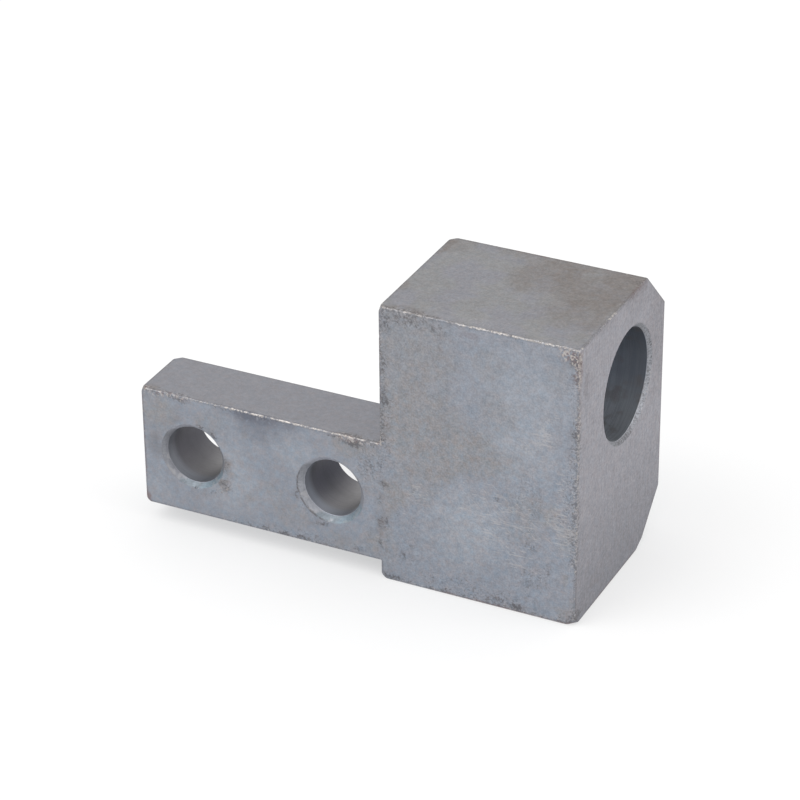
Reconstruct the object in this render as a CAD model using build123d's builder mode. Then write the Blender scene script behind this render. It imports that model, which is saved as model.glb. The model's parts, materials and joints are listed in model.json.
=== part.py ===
"""Support bracket for a leadscrew: a bored block with a flat bolting arm, all in one solid.

Millimetres. The origin lies on the bore's axis, midway along the block. +X runs along the bore, out
of the end away from the arm, +Y away from the mounting face, and +Z up.
"""
import os

from build123d import *

# Block
block_length = 22.0
block_depth = 22.2
block_height = 32.0
back_chamfer = 5.0

# Bore for the screw's journal
bore_diameter = 12.0
bore_from_mounting_face = 12.6
bore_above_base = 21.9
bore_mouth_chamfer = 0.4

# Arm
arm_length = 28.1
arm_height = 14.0
arm_thickness = 7.7
arm_above_base = 2.1

# Bolt holes, clearance for 6 mm screws
bolt_diameter = 6.0
bolt_clearance = 0.6
end_hole_from_arm_end = 6.0
near_hole_from_block = 5.8
end_hole_chamfer = 0.5
near_hole_chamfer = 0.6
hole_back_chamfer = 0.2

# Rounding of every edge, inner corners included
edge_radius = 0.3

# Places that follow from the sizes above
mounting_face_y = -bore_from_mounting_face
back_face_y = mounting_face_y + block_depth
base_z = -bore_above_base
top_z = base_z + block_height
shoulder_x = -block_length / 2
arm_end_x = shoulder_x - arm_length
arm_mid_z = base_z + arm_above_base + arm_height / 2
bolt_spacing = arm_length - near_hole_from_block - end_hole_from_arm_end
bolts_mid_x = shoulder_x - near_hole_from_block - bolt_spacing / 2

with BuildPart() as bracket:
    # Block, its section drawn square to the bore
    with BuildSketch(Plane.YZ.offset(shoulder_x)):
        with Locations(((mounting_face_y + back_face_y) / 2, (base_z + top_z) / 2)):
            Rectangle(block_depth, block_height)
    extrude(amount=block_length)

    # Two wide chamfers along the back
    back_edges = bracket.edges().filter_by(Axis.X).group_by(Axis.Y)[-1]
    chamfer(back_edges, length=back_chamfer)

    # Arm, level with the mounting face
    with BuildSketch(Plane.XZ.offset(-mounting_face_y)):
        with Locations(((arm_end_x + shoulder_x) / 2, arm_mid_z)):
            Rectangle(arm_length, arm_height)
    extrude(amount=-arm_thickness)

    # Rounded edges and arm roots
    fillet(bracket.edges(), radius=edge_radius)

    # Bolt holes through the arm
    with BuildSketch(Plane.XZ.offset(-mounting_face_y)):
        with Locations((bolts_mid_x, arm_mid_z)):
            with GridLocations(bolt_spacing, 0, 2, 1):
                Circle((bolt_diameter + bolt_clearance) / 2)
    extrude(amount=-arm_thickness, mode=Mode.SUBTRACT)
    hole_rims = bracket.edges(Select.LAST).filter_by(GeomType.CIRCLE).group_by(Axis.Y)
    end_rim, near_rim = hole_rims[0].sort_by(Axis.X)
    back_rims = hole_rims[-1]
    chamfer(end_rim, length=end_hole_chamfer)
    chamfer(near_rim, length=near_hole_chamfer)
    chamfer(back_rims, length=hole_back_chamfer)

    # Bore through the block
    with BuildSketch(Plane.YZ.offset(shoulder_x)):
        Circle(bore_diameter / 2)
    extrude(amount=block_length, mode=Mode.SUBTRACT)
    bore_rims = bracket.edges(Select.LAST).filter_by(GeomType.CIRCLE)
    chamfer(bore_rims, length=bore_mouth_chamfer)

bracket.part.label = "bracket"

os.makedirs("parts", exist_ok=True)
export_step(bracket.part, "parts/bracket.step")
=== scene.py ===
"""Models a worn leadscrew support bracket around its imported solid, and sets a studio stage for it.

Lengths are metres in the solid's own frame. The origin lies on the bore's axis, midway along the
block; +X runs out of the end away from the arm, +Y away from the mounting face, and +Z up.
"""
import json
import math
import random

import bmesh
import bpy
from bpy.props import FloatProperty, FloatVectorProperty, IntProperty, PointerProperty
from bpy.types import NodeSocket, Operator, Panel, PropertyGroup
from mathutils import Matrix, Vector
from mathutils.bvhtree import BVHTree


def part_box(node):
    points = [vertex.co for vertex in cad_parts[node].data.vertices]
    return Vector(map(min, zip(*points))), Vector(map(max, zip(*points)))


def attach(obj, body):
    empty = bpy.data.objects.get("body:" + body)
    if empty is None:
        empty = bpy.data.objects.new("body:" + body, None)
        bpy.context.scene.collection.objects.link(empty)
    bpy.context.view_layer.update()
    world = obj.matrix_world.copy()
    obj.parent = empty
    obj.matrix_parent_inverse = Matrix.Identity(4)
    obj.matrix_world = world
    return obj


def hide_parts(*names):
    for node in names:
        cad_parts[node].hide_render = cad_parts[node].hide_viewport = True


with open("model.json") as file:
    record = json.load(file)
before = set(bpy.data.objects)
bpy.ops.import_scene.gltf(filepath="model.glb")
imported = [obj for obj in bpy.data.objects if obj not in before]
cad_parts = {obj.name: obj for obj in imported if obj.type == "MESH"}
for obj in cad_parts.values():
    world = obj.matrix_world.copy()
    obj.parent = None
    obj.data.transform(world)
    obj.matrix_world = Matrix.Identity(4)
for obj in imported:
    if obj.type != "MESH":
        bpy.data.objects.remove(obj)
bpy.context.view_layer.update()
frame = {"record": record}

bl_info = {
    "name": "Leadscrew Support Bracket",
    "version": (1, 0, 0),
    "blender": (4, 5, 0),
    "location": "View3D > Sidebar > Bracket",
    "description": "Models a worn leadscrew support bracket and a studio stage for it",
    "category": "Add Mesh",
}

CAD_NODE = "bracket"
PIECE_NAME = "worn_bracket"
WEAR_DEPTH = "wear_depth"

MM = 0.001
LOW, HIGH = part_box(CAD_NODE)
MOUNTS = {mount["name"]: mount for mount in frame["record"]["mounts"]}
BORE_RADIUS = MOUNTS["leadscrew_bore"]["dims"]["r_mm"] * MM
BOLTS_CENTRE = Vector(MOUNTS["arm_bolt_holes"]["pos_m"])
BOLT_SPACING = MOUNTS["arm_bolt_holes"]["dims"]["spacing_x_mm"] * MM
BOLT_HOLE_RADIUS = MOUNTS["arm_bolt_holes"]["dims"]["hole_r_mm"] * MM
END_BOLT_X = BOLTS_CENTRE.x - BOLT_SPACING / 2
NEAR_BOLT_X = BOLTS_CENTRE.x + BOLT_SPACING / 2

ALONG, BACK, UP = Vector((1, 0, 0)), Vector((0, 1, 0)), Vector((0, 0, 1))


def length(name, description, default):
    """A length property in metres."""
    return FloatProperty(name=name, description=description, default=default, unit="LENGTH", precision=5)


def plain(name, description, default):
    """A property that is a plain number."""
    return FloatProperty(name=name, description=description, default=default)


def angle(name, description, degrees):
    """An angle property."""
    return FloatProperty(name=name, description=description, default=math.radians(degrees), subtype="ANGLE")


def colour(name, description, default):
    """A colour property, in linear light."""
    return FloatVectorProperty(
        name=name, description=description, default=default, subtype="COLOR", size=3, min=0, max=1
    )


class BracketSizes(PropertyGroup):
    """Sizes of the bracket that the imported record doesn't state."""

    arm_length: length("Arm length", "From the block's shoulder to the arm's end", 28.1 * MM)
    arm_height: length("Arm height", "Height of the arm's section", 14.0 * MM)
    arm_thickness: length("Arm thickness", "From the mounting face to the arm's back", 7.7 * MM)
    arm_above_base: length("Arm above base", "From the block's base up to the arm", 2.1 * MM)
    back_chamfer: length("Back chamfer", "Width of the block's two back chamfers", 5.0 * MM)
    edge_radius: length("Edge radius", "Rounding of every edge before wear", 0.18 * MM)
    bore_mouth: length("Bore mouth", "Chamfer at both ends of the bore", 0.4 * MM)
    end_hole_mouth: length("End hole mouth", "Chamfer of the bolt hole at the arm's end", 0.5 * MM)
    near_hole_mouth: length("Near hole mouth", "Chamfer of the bolt hole beside the block", 0.6 * MM)
    end_hole_back: length("End hole back", "Back chamfer of the bolt hole at the arm's end", 0.2 * MM)
    near_hole_back: length("Near hole back", "Back chamfer of the bolt hole beside the block", 0.02 * MM)


class WearSizes(PropertyGroup):
    """How the edges and corners are worn."""

    foot_corner: length("Foot corner", "Most rubbed corner, at the foot of the end face's front", 1.0 * MM)
    nick_width: length("Nick width", "Width of a usual nick across an edge", 0.22 * MM)
    seed: IntProperty(name="Seed", description="Seed of the scattered nicks", default=11)


class FinishColours(PropertyGroup):
    """Colours of the worn metal, some of them painted light and shade."""

    blue: colour("Blue", "Clean metal of the mounting face", (0.305, 0.324, 0.368))
    # Painted sheen: a lighter copy of the mounting face's blue, for where it reflects more light.
    sheen_blue: colour("Light blue", "Where the mounting face is lightest", (0.358, 0.378, 0.421))
    brown: colour("Brown", "Tarnish on the mounting face", (0.304, 0.304, 0.320))
    top: colour("Top", "Clean metal of the top faces", (0.297, 0.296, 0.302))
    top_cool: colour("Top, cool", "Where the top faces turn cooler", (0.292, 0.292, 0.316))
    top_brown: colour("Top, brown", "Tarnish on the block's top", (0.243, 0.224, 0.216))
    end: colour("End", "Clean metal of the end face", (0.331, 0.325, 0.355))
    end_foot: colour("End, foot", "Where the end face darkens to its foot", (0.262, 0.262, 0.288))
    end_brown: colour("End, brown", "Duller patches on the end face", (0.268, 0.257, 0.278))
    # Laid also as painted shade: in the arm's inner corner and along the rounded edges' crests.
    dirt_and_shade: colour("Dirt", "Dirt in pits and along edges", (0.105, 0.098, 0.100))
    smudge: colour("Smudge", "Soft dark smears on the mounting face", (0.150, 0.140, 0.140))
    rust: colour("Rust", "Rusty brown at corners", (0.205, 0.134, 0.126))
    stain: colour("Stain", "Dark stain under the arm's top edge", (0.135, 0.145, 0.180))
    pale: colour("Pale", "Scuffs and scratches", (0.520, 0.505, 0.510))
    bare: colour("Bare", "Metal rubbed bright along the edges", (0.520, 0.485, 0.455))
    bore: colour("Bore", "Wall of the bore near its mouth", (0.250, 0.270, 0.308))
    # Painted light: a lighter copy of the bore's wall for its lower part, which faces up to the light.
    bore_lit_low: colour("Bore, below", "Lower wall of the bore near its mouth", (0.384, 0.404, 0.432))
    bore_mark: colour("Bore marks", "Tool marks in the bore", (0.180, 0.200, 0.230))
    bore_smear: colour("Bore smears", "Brown smears in the bore", (0.270, 0.240, 0.225))
    bore_mouth: colour("Bore mouth", "Chamfer at the bore's mouth", (0.300, 0.309, 0.336))
    mouth: colour("Hole mouths", "Chamfers of the bolt holes", (0.296, 0.304, 0.332))
    mouth_low: colour("Hole mouths, low", "Bolt holes' chamfers, low on the right", (0.250, 0.305, 0.350))
    # Painted light and shade on the bolt holes' chamfers: a lighter copy high up and a darker copy lowest
    # down, set by how the light falls on them.
    mouth_lit_above: colour("Hole mouths, above", "Bolt holes' chamfers, high up", (0.520, 0.535, 0.590))
    mouth_shaded_foot: colour("Hole mouths, foot", "Bolt holes' chamfers, lowest down", (0.208, 0.234, 0.260))
    # The four hole-wall colours are painted light and shade: lighter near the mouth and low on the right,
    # darker high up and low on the left.
    wall_lit_rim: colour("Hole walls, rim", "Walls of the bolt holes near the mouth", (0.345, 0.360, 0.400))
    wall_shaded_upper: colour("Hole walls, above", "Walls of the bolt holes, high and deep", (0.245, 0.250, 0.275))
    wall_shaded_left: colour("Hole walls, left", "Walls of the bolt holes, low left", (0.178, 0.176, 0.198))
    wall_lit_right: colour("Hole walls, right", "Walls of the bolt holes, low right", (0.330, 0.324, 0.330))


class StageSettings(PropertyGroup):
    """Camera and light."""

    focal_length: plain("Focal length", "Lens, in millimetres", 147.93)
    azimuth: angle("Azimuth", "Turn of the view from +Y", 26.33)
    elevation: angle("Elevation", "Height of the view", 29.34)
    roll: angle("Roll", "Turn of the picture", -0.514)
    camera_place: FloatVectorProperty(
        name="Camera place", description="Where the camera stands", default=(0.11963, -0.27177, 0.16247),
        subtype="TRANSLATION", precision=5,
    )
    room_strength: plain("Room light", "Strength of the white room", 1.0)
    key_power: plain("Key power", "Soft light from above and in front, in watts", 1.5)
    fill_power: plain("Fill power", "Soft light from the right, in watts", 1.0)
    light_size: length("Light size", "Side of the square soft lights", 0.45)
    light_distance: length("Light distance", "From the bracket to the soft lights", 0.7)
    floor_colour: colour("Floor", "Pale floor", (0.86, 0.86, 0.86))


# Modelling helpers

NEARBY = 0.1 * MM
FLAT = math.radians(1)
SMOOTH_BELOW = math.radians(30)
SAME_PLACE = 0.001 * MM
FACES_ALONG = 0.9


def select_only(piece):
    """Leaves this object alone selected and active."""
    bpy.ops.object.select_all(action="DESELECT")
    piece.select_set(True)
    bpy.context.view_layer.objects.active = piece


def pick(piece, kind, test):
    """Selects, in edit mode, only the vertices, edges or faces that pass the test; there has to be one."""
    bpy.ops.mesh.select_mode(type=kind)
    bpy.ops.mesh.select_all(action="DESELECT")
    mesh = bmesh.from_edit_mesh(piece.data)
    items = {"VERT": mesh.verts, "EDGE": mesh.edges, "FACE": mesh.faces}[kind]
    chosen = [item for item in items if test(item)]
    if not chosen:
        raise RuntimeError("Nothing to select on " + piece.name)
    for item in chosen:
        item.select_set(True)
    mesh.select_flush_mode()
    bmesh.update_edit_mesh(piece.data)


def face_outwards():
    """Turns all faces outwards, in edit mode."""
    bpy.ops.mesh.select_all(action="SELECT")
    bpy.ops.mesh.normals_make_consistent(inside=False)


def extrude(shift):
    """Extrudes the selected face by this shift, in edit mode."""
    bpy.ops.mesh.extrude_region_move(TRANSFORM_OT_translate={"value": shift, "orient_type": "GLOBAL"})


def middle(face):
    """Mean place of a face's corners."""
    return sum((vertex.co for vertex in face.verts), Vector()) / len(face.verts)


def use_modifier(piece, kind, **settings):
    """Adds a modifier with these settings and applies it."""
    select_only(piece)
    modifier = piece.modifiers.new(kind.title(), kind)
    for name, value in settings.items():
        setattr(modifier, name, value)
    bpy.ops.object.modifier_apply(modifier=modifier.name)


def copy_of(piece, name):
    """A second object with its own copy of the mesh."""
    twin = piece.copy()
    twin.data = piece.data.copy()
    twin.name = name
    bpy.context.collection.objects.link(twin)
    return twin


def remove(piece):
    """Deletes an object that was only a tool."""
    select_only(piece)
    bpy.ops.object.delete()


# The bracket's body

ROUNDING_STEPS = 4
HOLE_SIDES = 160
CUTTER_SPARE = MM


def body_places(sizes):
    """Planes that the block and the arm share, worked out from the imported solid's box."""
    return {
        "shoulder": LOW.x + sizes.arm_length,
        "arm_low": LOW.z + sizes.arm_above_base,
        "arm_top": LOW.z + sizes.arm_above_base + sizes.arm_height,
        "arm_back": LOW.y + sizes.arm_thickness,
    }


def add_block(sizes, places):
    """The block, with the two wide chamfers along its back."""
    low = Vector((places["shoulder"], LOW.y, LOW.z))
    bpy.ops.object.select_all(action="DESELECT")
    bpy.ops.mesh.primitive_cube_add(size=1, location=(low + HIGH) / 2, scale=HIGH - low)
    body = bpy.context.object
    body.name = PIECE_NAME
    bpy.ops.object.transform_apply(location=True, rotation=True, scale=True)
    bpy.ops.object.mode_set(mode="EDIT")

    def is_back_edge(edge):
        one, other = (vertex.co for vertex in edge.verts)
        return min(one.y, other.y) > HIGH.y - NEARBY and abs(one.z - other.z) < NEARBY

    pick(body, "EDGE", is_back_edge)
    bpy.ops.mesh.bevel(offset=sizes.back_chamfer, offset_type="OFFSET", segments=1, affect="EDGES")
    bpy.ops.object.mode_set(mode="OBJECT")
    return body


def draw_out_arm(body, sizes, places):
    """Cuts the arm's outline into the shoulder and extrudes it."""
    bpy.ops.object.mode_set(mode="EDIT")
    for way, place in ((UP, places["arm_low"]), (UP, places["arm_top"]), (BACK, places["arm_back"])):
        bpy.ops.mesh.select_all(action="SELECT")
        bpy.ops.mesh.bisect(plane_co=way * place, plane_no=way)

    def is_arm_root(face):
        centre = middle(face)
        beside = places["arm_low"] < centre.z < places["arm_top"] and centre.y < places["arm_back"]
        return beside and face.normal.x < -FACES_ALONG

    pick(body, "FACE", is_arm_root)
    extrude(-ALONG * sizes.arm_length)
    bpy.ops.mesh.select_all(action="SELECT")
    bpy.ops.mesh.dissolve_limited(angle_limit=FLAT)
    bpy.ops.object.mode_set(mode="OBJECT")


def rub_corners(body, sizes, wear, places):
    """Breaks the corners rubbed rounder than the edges, each by a share of the most rubbed one."""
    left, tip, chamfer_y = places["shoulder"], LOW.x, HIGH.y - sizes.back_chamfer
    corners = (
        ((HIGH.x, LOW.y, LOW.z), 1.0),
        ((HIGH.x, chamfer_y, LOW.z), 1.0),
        ((HIGH.x, LOW.y, HIGH.z), 0.6),
        ((left, LOW.y, HIGH.z), 0.6),
        ((left, chamfer_y, HIGH.z), 0.8),
        ((left, LOW.y, LOW.z), 0.6),
        ((tip, LOW.y, places["arm_low"]), 0.5),
        ((tip, LOW.y, places["arm_top"]), 0.5),
        ((tip, places["arm_back"], places["arm_top"]), 0.8),
    )
    bpy.ops.object.mode_set(mode="EDIT")
    for corner, share in corners:
        pick(body, "VERT", lambda vertex: (vertex.co - Vector(corner)).length < NEARBY)
        size = wear.foot_corner * share
        bpy.ops.mesh.bevel(offset=size, offset_type="OFFSET", segments=1, affect="VERTICES")
    bpy.ops.object.mode_set(mode="OBJECT")


def round_edges(body, sizes):
    """Rounds every edge and inner corner."""
    bpy.ops.object.mode_set(mode="EDIT")
    bpy.ops.mesh.select_all(action="SELECT")
    bpy.ops.mesh.bevel(
        offset=sizes.edge_radius, offset_type="OFFSET", segments=ROUNDING_STEPS, affect="EDGES"
    )
    face_outwards()
    bpy.ops.object.mode_set(mode="OBJECT")


def flared_cutter(radius, axis, start, end, start_mouth, end_mouth):
    """A round bar whose heads flare at 45 degrees, to cut a hole with chamfered mouths."""
    first = start + axis * start_mouth
    last = end - axis * end_mouth
    turn = UP.rotation_difference(axis).to_euler()
    bpy.ops.object.select_all(action="DESELECT")
    bpy.ops.mesh.primitive_cylinder_add(
        vertices=HOLE_SIDES, radius=radius, depth=(last - first).length, location=(first + last) / 2,
        rotation=turn,
    )
    cutter = bpy.context.object
    bpy.ops.object.transform_apply(location=True, rotation=True, scale=True)
    bpy.ops.object.mode_set(mode="EDIT")
    for centre, outward, mouth in ((first, -axis, start_mouth), (last, axis, end_mouth)):
        reach = mouth + CUTTER_SPARE
        growth = (radius + reach) / radius
        pick(cutter, "FACE", lambda face: face.normal.dot(outward) > FACES_ALONG)
        extrude(outward * reach)
        scale = [1 if part else growth for part in axis]
        bpy.ops.transform.resize(value=scale, center_override=centre + outward * reach)
    bpy.ops.object.mode_set(mode="OBJECT")
    return cutter


def cut_away(body, cutter):
    """Subtracts the cutter from the body and deletes it."""
    use_modifier(body, "BOOLEAN", operation="DIFFERENCE", solver="EXACT", use_self=True, object=cutter)
    remove(cutter)


def cut_holes(body, sizes, places):
    """The bore through the block, and the two bolt holes through the arm."""
    bore = flared_cutter(
        BORE_RADIUS, ALONG, ALONG * places["shoulder"], ALONG * HIGH.x, sizes.bore_mouth, sizes.bore_mouth
    )
    cut_away(body, bore)
    bolts = (
        (END_BOLT_X, sizes.end_hole_mouth, sizes.end_hole_back),
        (NEAR_BOLT_X, sizes.near_hole_mouth, sizes.near_hole_back),
    )
    for x, front_mouth, back_mouth in bolts:
        front = Vector((x, LOW.y, BOLTS_CENTRE.z))
        back = Vector((x, places["arm_back"], BOLTS_CENTRE.z))
        cut_away(body, flared_cutter(BOLT_HOLE_RADIUS, BACK, front, back, front_mouth, back_mouth))


# Wear


def edge_lines(sizes, places):
    """The bracket's edges by name: start, end, and the way out of the corner between the two faces."""
    left, right = places["shoulder"], HIGH.x
    front, back, arm_back = LOW.y, HIGH.y, places["arm_back"]
    foot, top, arm_low, arm_top = LOW.z, HIGH.z, places["arm_low"], places["arm_top"]
    chamfer_y = back - sizes.back_chamfer
    chamfer_z = top - sizes.back_chamfer
    low_chamfer_z = foot + sizes.back_chamfer
    tip = LOW.x
    return {
        "block_top_front": ((left, front, top), (right, front, top), (0, -1, 1)),
        "block_end_front": ((right, front, foot), (right, front, top), (1, -1, 0)),
        "block_left_front": ((left, front, arm_top), (left, front, top), (-1, -1, 0)),
        "block_foot_front": ((left, front, foot), (right, front, foot), (0, -1, -1)),
        "block_top_end": ((right, front, top), (right, chamfer_y, top), (1, 0, 1)),
        "block_top_left": ((left, front, top), (left, chamfer_y, top), (-1, 0, 1)),
        "block_top_back": ((left, chamfer_y, top), (right, chamfer_y, top), (0, 0.38, 0.92)),
        "block_upper_chamfer": ((left, back, chamfer_z), (right, back, chamfer_z), (0, 0.92, 0.38)),
        "block_lower_chamfer": (
            (left, back, low_chamfer_z), (right, back, low_chamfer_z), (0, 0.92, -0.38)
        ),
        "block_foot_back": ((left, chamfer_y, foot), (right, chamfer_y, foot), (0, 0.38, -0.92)),
        "block_end_chamfer": ((right, chamfer_y, top), (right, back, chamfer_z), (1, 0.7, 0.7)),
        "block_end_back": ((right, back, low_chamfer_z), (right, back, chamfer_z), (1, 1, 0)),
        "block_end_low_chamfer": (
            (right, chamfer_y, foot), (right, back, low_chamfer_z), (1, 0.7, -0.7)
        ),
        "block_foot_end": ((right, front, foot), (right, chamfer_y, foot), (1, 0, -1)),
        "block_left_back": ((left, back, low_chamfer_z), (left, back, chamfer_z), (-1, 1, 0)),
        "arm_top_front": ((tip, front, arm_top), (left, front, arm_top), (0, -1, 1)),
        "arm_foot_front": ((tip, front, arm_low), (left, front, arm_low), (0, -1, -1)),
        "arm_end_front": ((tip, front, arm_low), (tip, front, arm_top), (-1, -1, 0)),
        "arm_top_back": ((tip, arm_back, arm_top), (left, arm_back, arm_top), (0, 1, 1)),
        "arm_foot_back": ((tip, arm_back, arm_low), (left, arm_back, arm_low), (0, 1, -1)),
        "arm_end_top": ((tip, front, arm_top), (tip, arm_back, arm_top), (-1, 0, 1)),
        "arm_end_back": ((tip, arm_back, arm_low), (tip, arm_back, arm_top), (-1, 1, 0)),
        "arm_end_foot": ((tip, front, arm_low), (tip, arm_back, arm_low), (-1, 0, -1)),
    }


# Runs of nicks: edge, start and end from the line's own start, number, and deepest bite; in millimetres
NICK_RUNS = (
    ("block_top_front", 0.4, 7.5, 11, 0.07),
    ("block_top_front", 7.5, 16.0, 26, 0.07),
    ("block_top_front", 16.0, 21.6, 26, 0.11),
    ("block_end_front", 1.0, 12.0, 20, 0.06),
    ("block_end_front", 12.0, 29.0, 28, 0.07),
    ("block_end_front", 28.0, 31.6, 14, 0.16),
    ("block_left_front", 0.2, 15.5, 15, 0.06),
    ("block_foot_front", 0.5, 21.0, 16, 0.04),
    ("block_top_end", 0.5, 16.5, 16, 0.05),
    ("block_top_left", 0.5, 16.5, 8, 0.035),
    ("block_top_back", 0.5, 21.5, 9, 0.03),
    ("block_upper_chamfer", 0.5, 21.5, 12, 0.06),
    ("block_lower_chamfer", 0.5, 21.5, 12, 0.06),
    ("block_foot_back", 0.5, 21.5, 8, 0.05),
    ("block_end_chamfer", 0.3, 6.8, 4, 0.03),
    ("block_end_back", 0.3, 21.5, 8, 0.03),
    ("block_end_low_chamfer", 0.3, 6.8, 3, 0.03),
    ("block_foot_end", 1.0, 16.8, 6, 0.03),
    ("block_left_back", 0.3, 21.5, 10, 0.06),
    ("arm_top_front", 0.3, 7.0, 9, 0.06),
    ("arm_top_front", 7.0, 27.5, 50, 0.07),
    ("arm_foot_front", 0.5, 27.0, 18, 0.035),
    ("arm_end_front", 0.5, 13.5, 8, 0.035),
    ("arm_top_back", 0.5, 27.5, 9, 0.03),
    ("arm_foot_back", 0.5, 27.5, 12, 0.06),
    ("arm_end_top", 0.3, 7.4, 4, 0.03),
    ("arm_end_back", 0.3, 13.7, 8, 0.06),
    ("arm_end_foot", 0.3, 7.4, 4, 0.04),
)

# Nicks on the holes' rims: rim, first and last angle in degrees, number, and deepest bite in millimetres.
# Angles run from +Y towards +Z on the bore, and from +X towards +Z on the bolt holes.
RIM_RUNS = (
    ("bore", -78, -12, 17, 0.10),
    ("bore", 8, 62, 9, 0.07),
    ("bore", -150, -82, 6, 0.05),
    ("end_hole", 272, 281, 2, 0.13),
    ("end_hole", 150, 250, 5, 0.05),
    ("near_hole", 150, 262, 12, 0.06),
    ("near_hole", 20, 100, 5, 0.04),
)


# How far each ball's corners are moved at random, so that no two nicks are alike
NICK_ROUGHNESS = 0.02 * MM


def rims(sizes):
    """The holes' outer rims: centre, radius, ways of angles 0 and 90, and the way out of the face."""
    end_bolt = Vector((END_BOLT_X, LOW.y, BOLTS_CENTRE.z))
    near_bolt = Vector((NEAR_BOLT_X, LOW.y, BOLTS_CENTRE.z))
    return {
        "bore": (ALONG * HIGH.x, BORE_RADIUS + sizes.bore_mouth, BACK, UP, ALONG),
        "end_hole": (end_bolt, BOLT_HOLE_RADIUS + sizes.end_hole_mouth, ALONG, UP, -BACK),
        "near_hole": (near_bolt, BOLT_HOLE_RADIUS + sizes.near_hole_mouth, ALONG, UP, -BACK),
    }


def spread(first, last, count, chance):
    """Places from first to last, one at random in each of equal parts."""
    for number in range(count):
        yield first + (last - first) * (number + chance.uniform(0.05, 0.95)) / count


def add_dent(place, half_sizes, turn):
    """Adds one lumpy ball to the mesh in edit mode, to bite a dent where it meets the bracket."""
    bpy.ops.mesh.primitive_ico_sphere_add(
        subdivisions=2, radius=1, location=place, rotation=turn, scale=half_sizes
    )


def add_edge_dents(lines, sizes, wear, chance):
    """Balls strung along the edges, drawn out and turned a little at random."""
    corner_gap = sizes.edge_radius * (math.sqrt(2) - 1)
    for name, first, last, count, bite in NICK_RUNS:
        start, end, outward = (Vector(part) for part in lines[name])
        run = (end - start).normalized()
        outward.normalize()
        for along in spread(first, last, count, chance):
            half_width = wear.nick_width * chance.uniform(0.6, 1.3)
            depth = bite * MM * chance.uniform(0.35, 1.0)
            sideways = run.cross(outward) * chance.uniform(-0.1, 0.1) * MM
            place = start + run * along * MM + outward * (half_width - corner_gap - depth) + sideways
            stretch = chance.uniform(1.0, 2.6)
            half_sizes = (half_width * stretch, half_width, half_width * chance.uniform(0.7, 1.1))
            turn = run.to_track_quat("X", "Z").to_euler()
            turn.rotate_axis("X", chance.uniform(0, math.tau))
            turn.rotate_axis("Z", chance.uniform(-0.35, 0.35))
            add_dent(place, half_sizes, turn)


def add_rim_dents(circles, wear, chance):
    """Balls strung along the holes' rims."""
    for name, first, last, count, bite in RIM_RUNS:
        centre, radius, level_way, up_way, out_way = circles[name]
        for degrees in spread(first, last, count, chance):
            turned = math.radians(degrees)
            spoke = level_way * math.cos(turned) + up_way * math.sin(turned)
            half_width = wear.nick_width * chance.uniform(0.4, 0.9)
            depth = bite * MM * chance.uniform(0.4, 1.0)
            place = centre + spoke * radius + (out_way - spoke * 0.4).normalized() * (half_width - depth)
            half_sizes = (half_width, half_width * chance.uniform(0.7, 1.4), half_width)
            add_dent(place, half_sizes, spoke.to_track_quat("X", "Z").to_euler())


def nick_cutter(sizes, wear, places):
    """One mesh of many small balls along the edges and rims. The first, above the block, cuts nothing."""
    chance = random.Random(wear.seed)
    bpy.ops.object.select_all(action="DESELECT")
    bpy.ops.mesh.primitive_ico_sphere_add(subdivisions=1, radius=wear.nick_width, location=UP * 2 * HIGH.z)
    cutter = bpy.context.object
    bpy.ops.object.transform_apply(location=True, rotation=True, scale=True)
    bpy.ops.object.mode_set(mode="EDIT")
    add_edge_dents(edge_lines(sizes, places), sizes, wear, chance)
    add_rim_dents(rims(sizes), wear, chance)
    bpy.ops.mesh.select_all(action="SELECT")
    bpy.ops.transform.vertex_random(offset=NICK_ROUGHNESS, seed=wear.seed)
    bpy.ops.object.mode_set(mode="OBJECT")
    return cutter


def number_by(items, key):
    """Numbers a mesh's corners, edges or faces by this key."""
    numbers = {item: number for number, item in enumerate(sorted(items, key=key))}
    items.sort(key=numbers.get)
    items.index_update()


def number_by_place(body):
    """Gives the mesh one order. The boolean's own differs each run, and so would what is then merged."""
    mesh = bmesh.from_edit_mesh(body.data)
    number_by(mesh.verts, lambda vertex: tuple(vertex.co))
    for items in (mesh.edges, mesh.faces):
        number_by(items, lambda item: sorted(vertex.index for vertex in item.verts))
    bmesh.update_edit_mesh(body.data)


def clean_up(body):
    """Merges doubled corners and turns all faces outwards."""
    select_only(body)
    bpy.ops.object.mode_set(mode="EDIT")
    number_by_place(body)
    bpy.ops.mesh.select_all(action="SELECT")
    bpy.ops.mesh.remove_doubles(threshold=SAME_PLACE)
    face_outwards()
    bpy.ops.object.mode_set(mode="OBJECT")


def record_wear(body, unworn):
    """Stores how far each vertex lies under the unworn surface, in millimetres, for the material."""
    tree = BVHTree.FromObject(unworn, bpy.context.evaluated_depsgraph_get())
    depths = [tree.find_nearest(vertex.co)[3] / MM for vertex in body.data.vertices]
    attribute = body.data.attributes.new(WEAR_DEPTH, "FLOAT", "POINT")
    attribute.data.foreach_set("value", depths)


def model_bracket(sizes, wear):
    """The whole bracket as one worn mesh."""
    places = body_places(sizes)
    body = add_block(sizes, places)
    draw_out_arm(body, sizes, places)
    rub_corners(body, sizes, wear, places)
    round_edges(body, sizes)
    cut_holes(body, sizes, places)
    unworn = copy_of(body, "unworn_bracket")
    cut_away(body, nick_cutter(sizes, wear, places))
    clean_up(body)
    record_wear(body, unworn)
    remove(unworn)
    select_only(body)
    bpy.ops.object.shade_smooth_by_angle(angle=SMOOTH_BELOW)
    use_modifier(body, "WEIGHTED_NORMAL", weight=100, keep_sharp=True)
    return body


# Metal: where the stains and the painted sheen lie

# Each soft spot: face, place across and up it, reach across and up, turn in degrees, and strength.
# "front" is x and z on the mounting face, "top" x and y on the block, "end" y and z on the end face; in
# millimetres.

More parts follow.
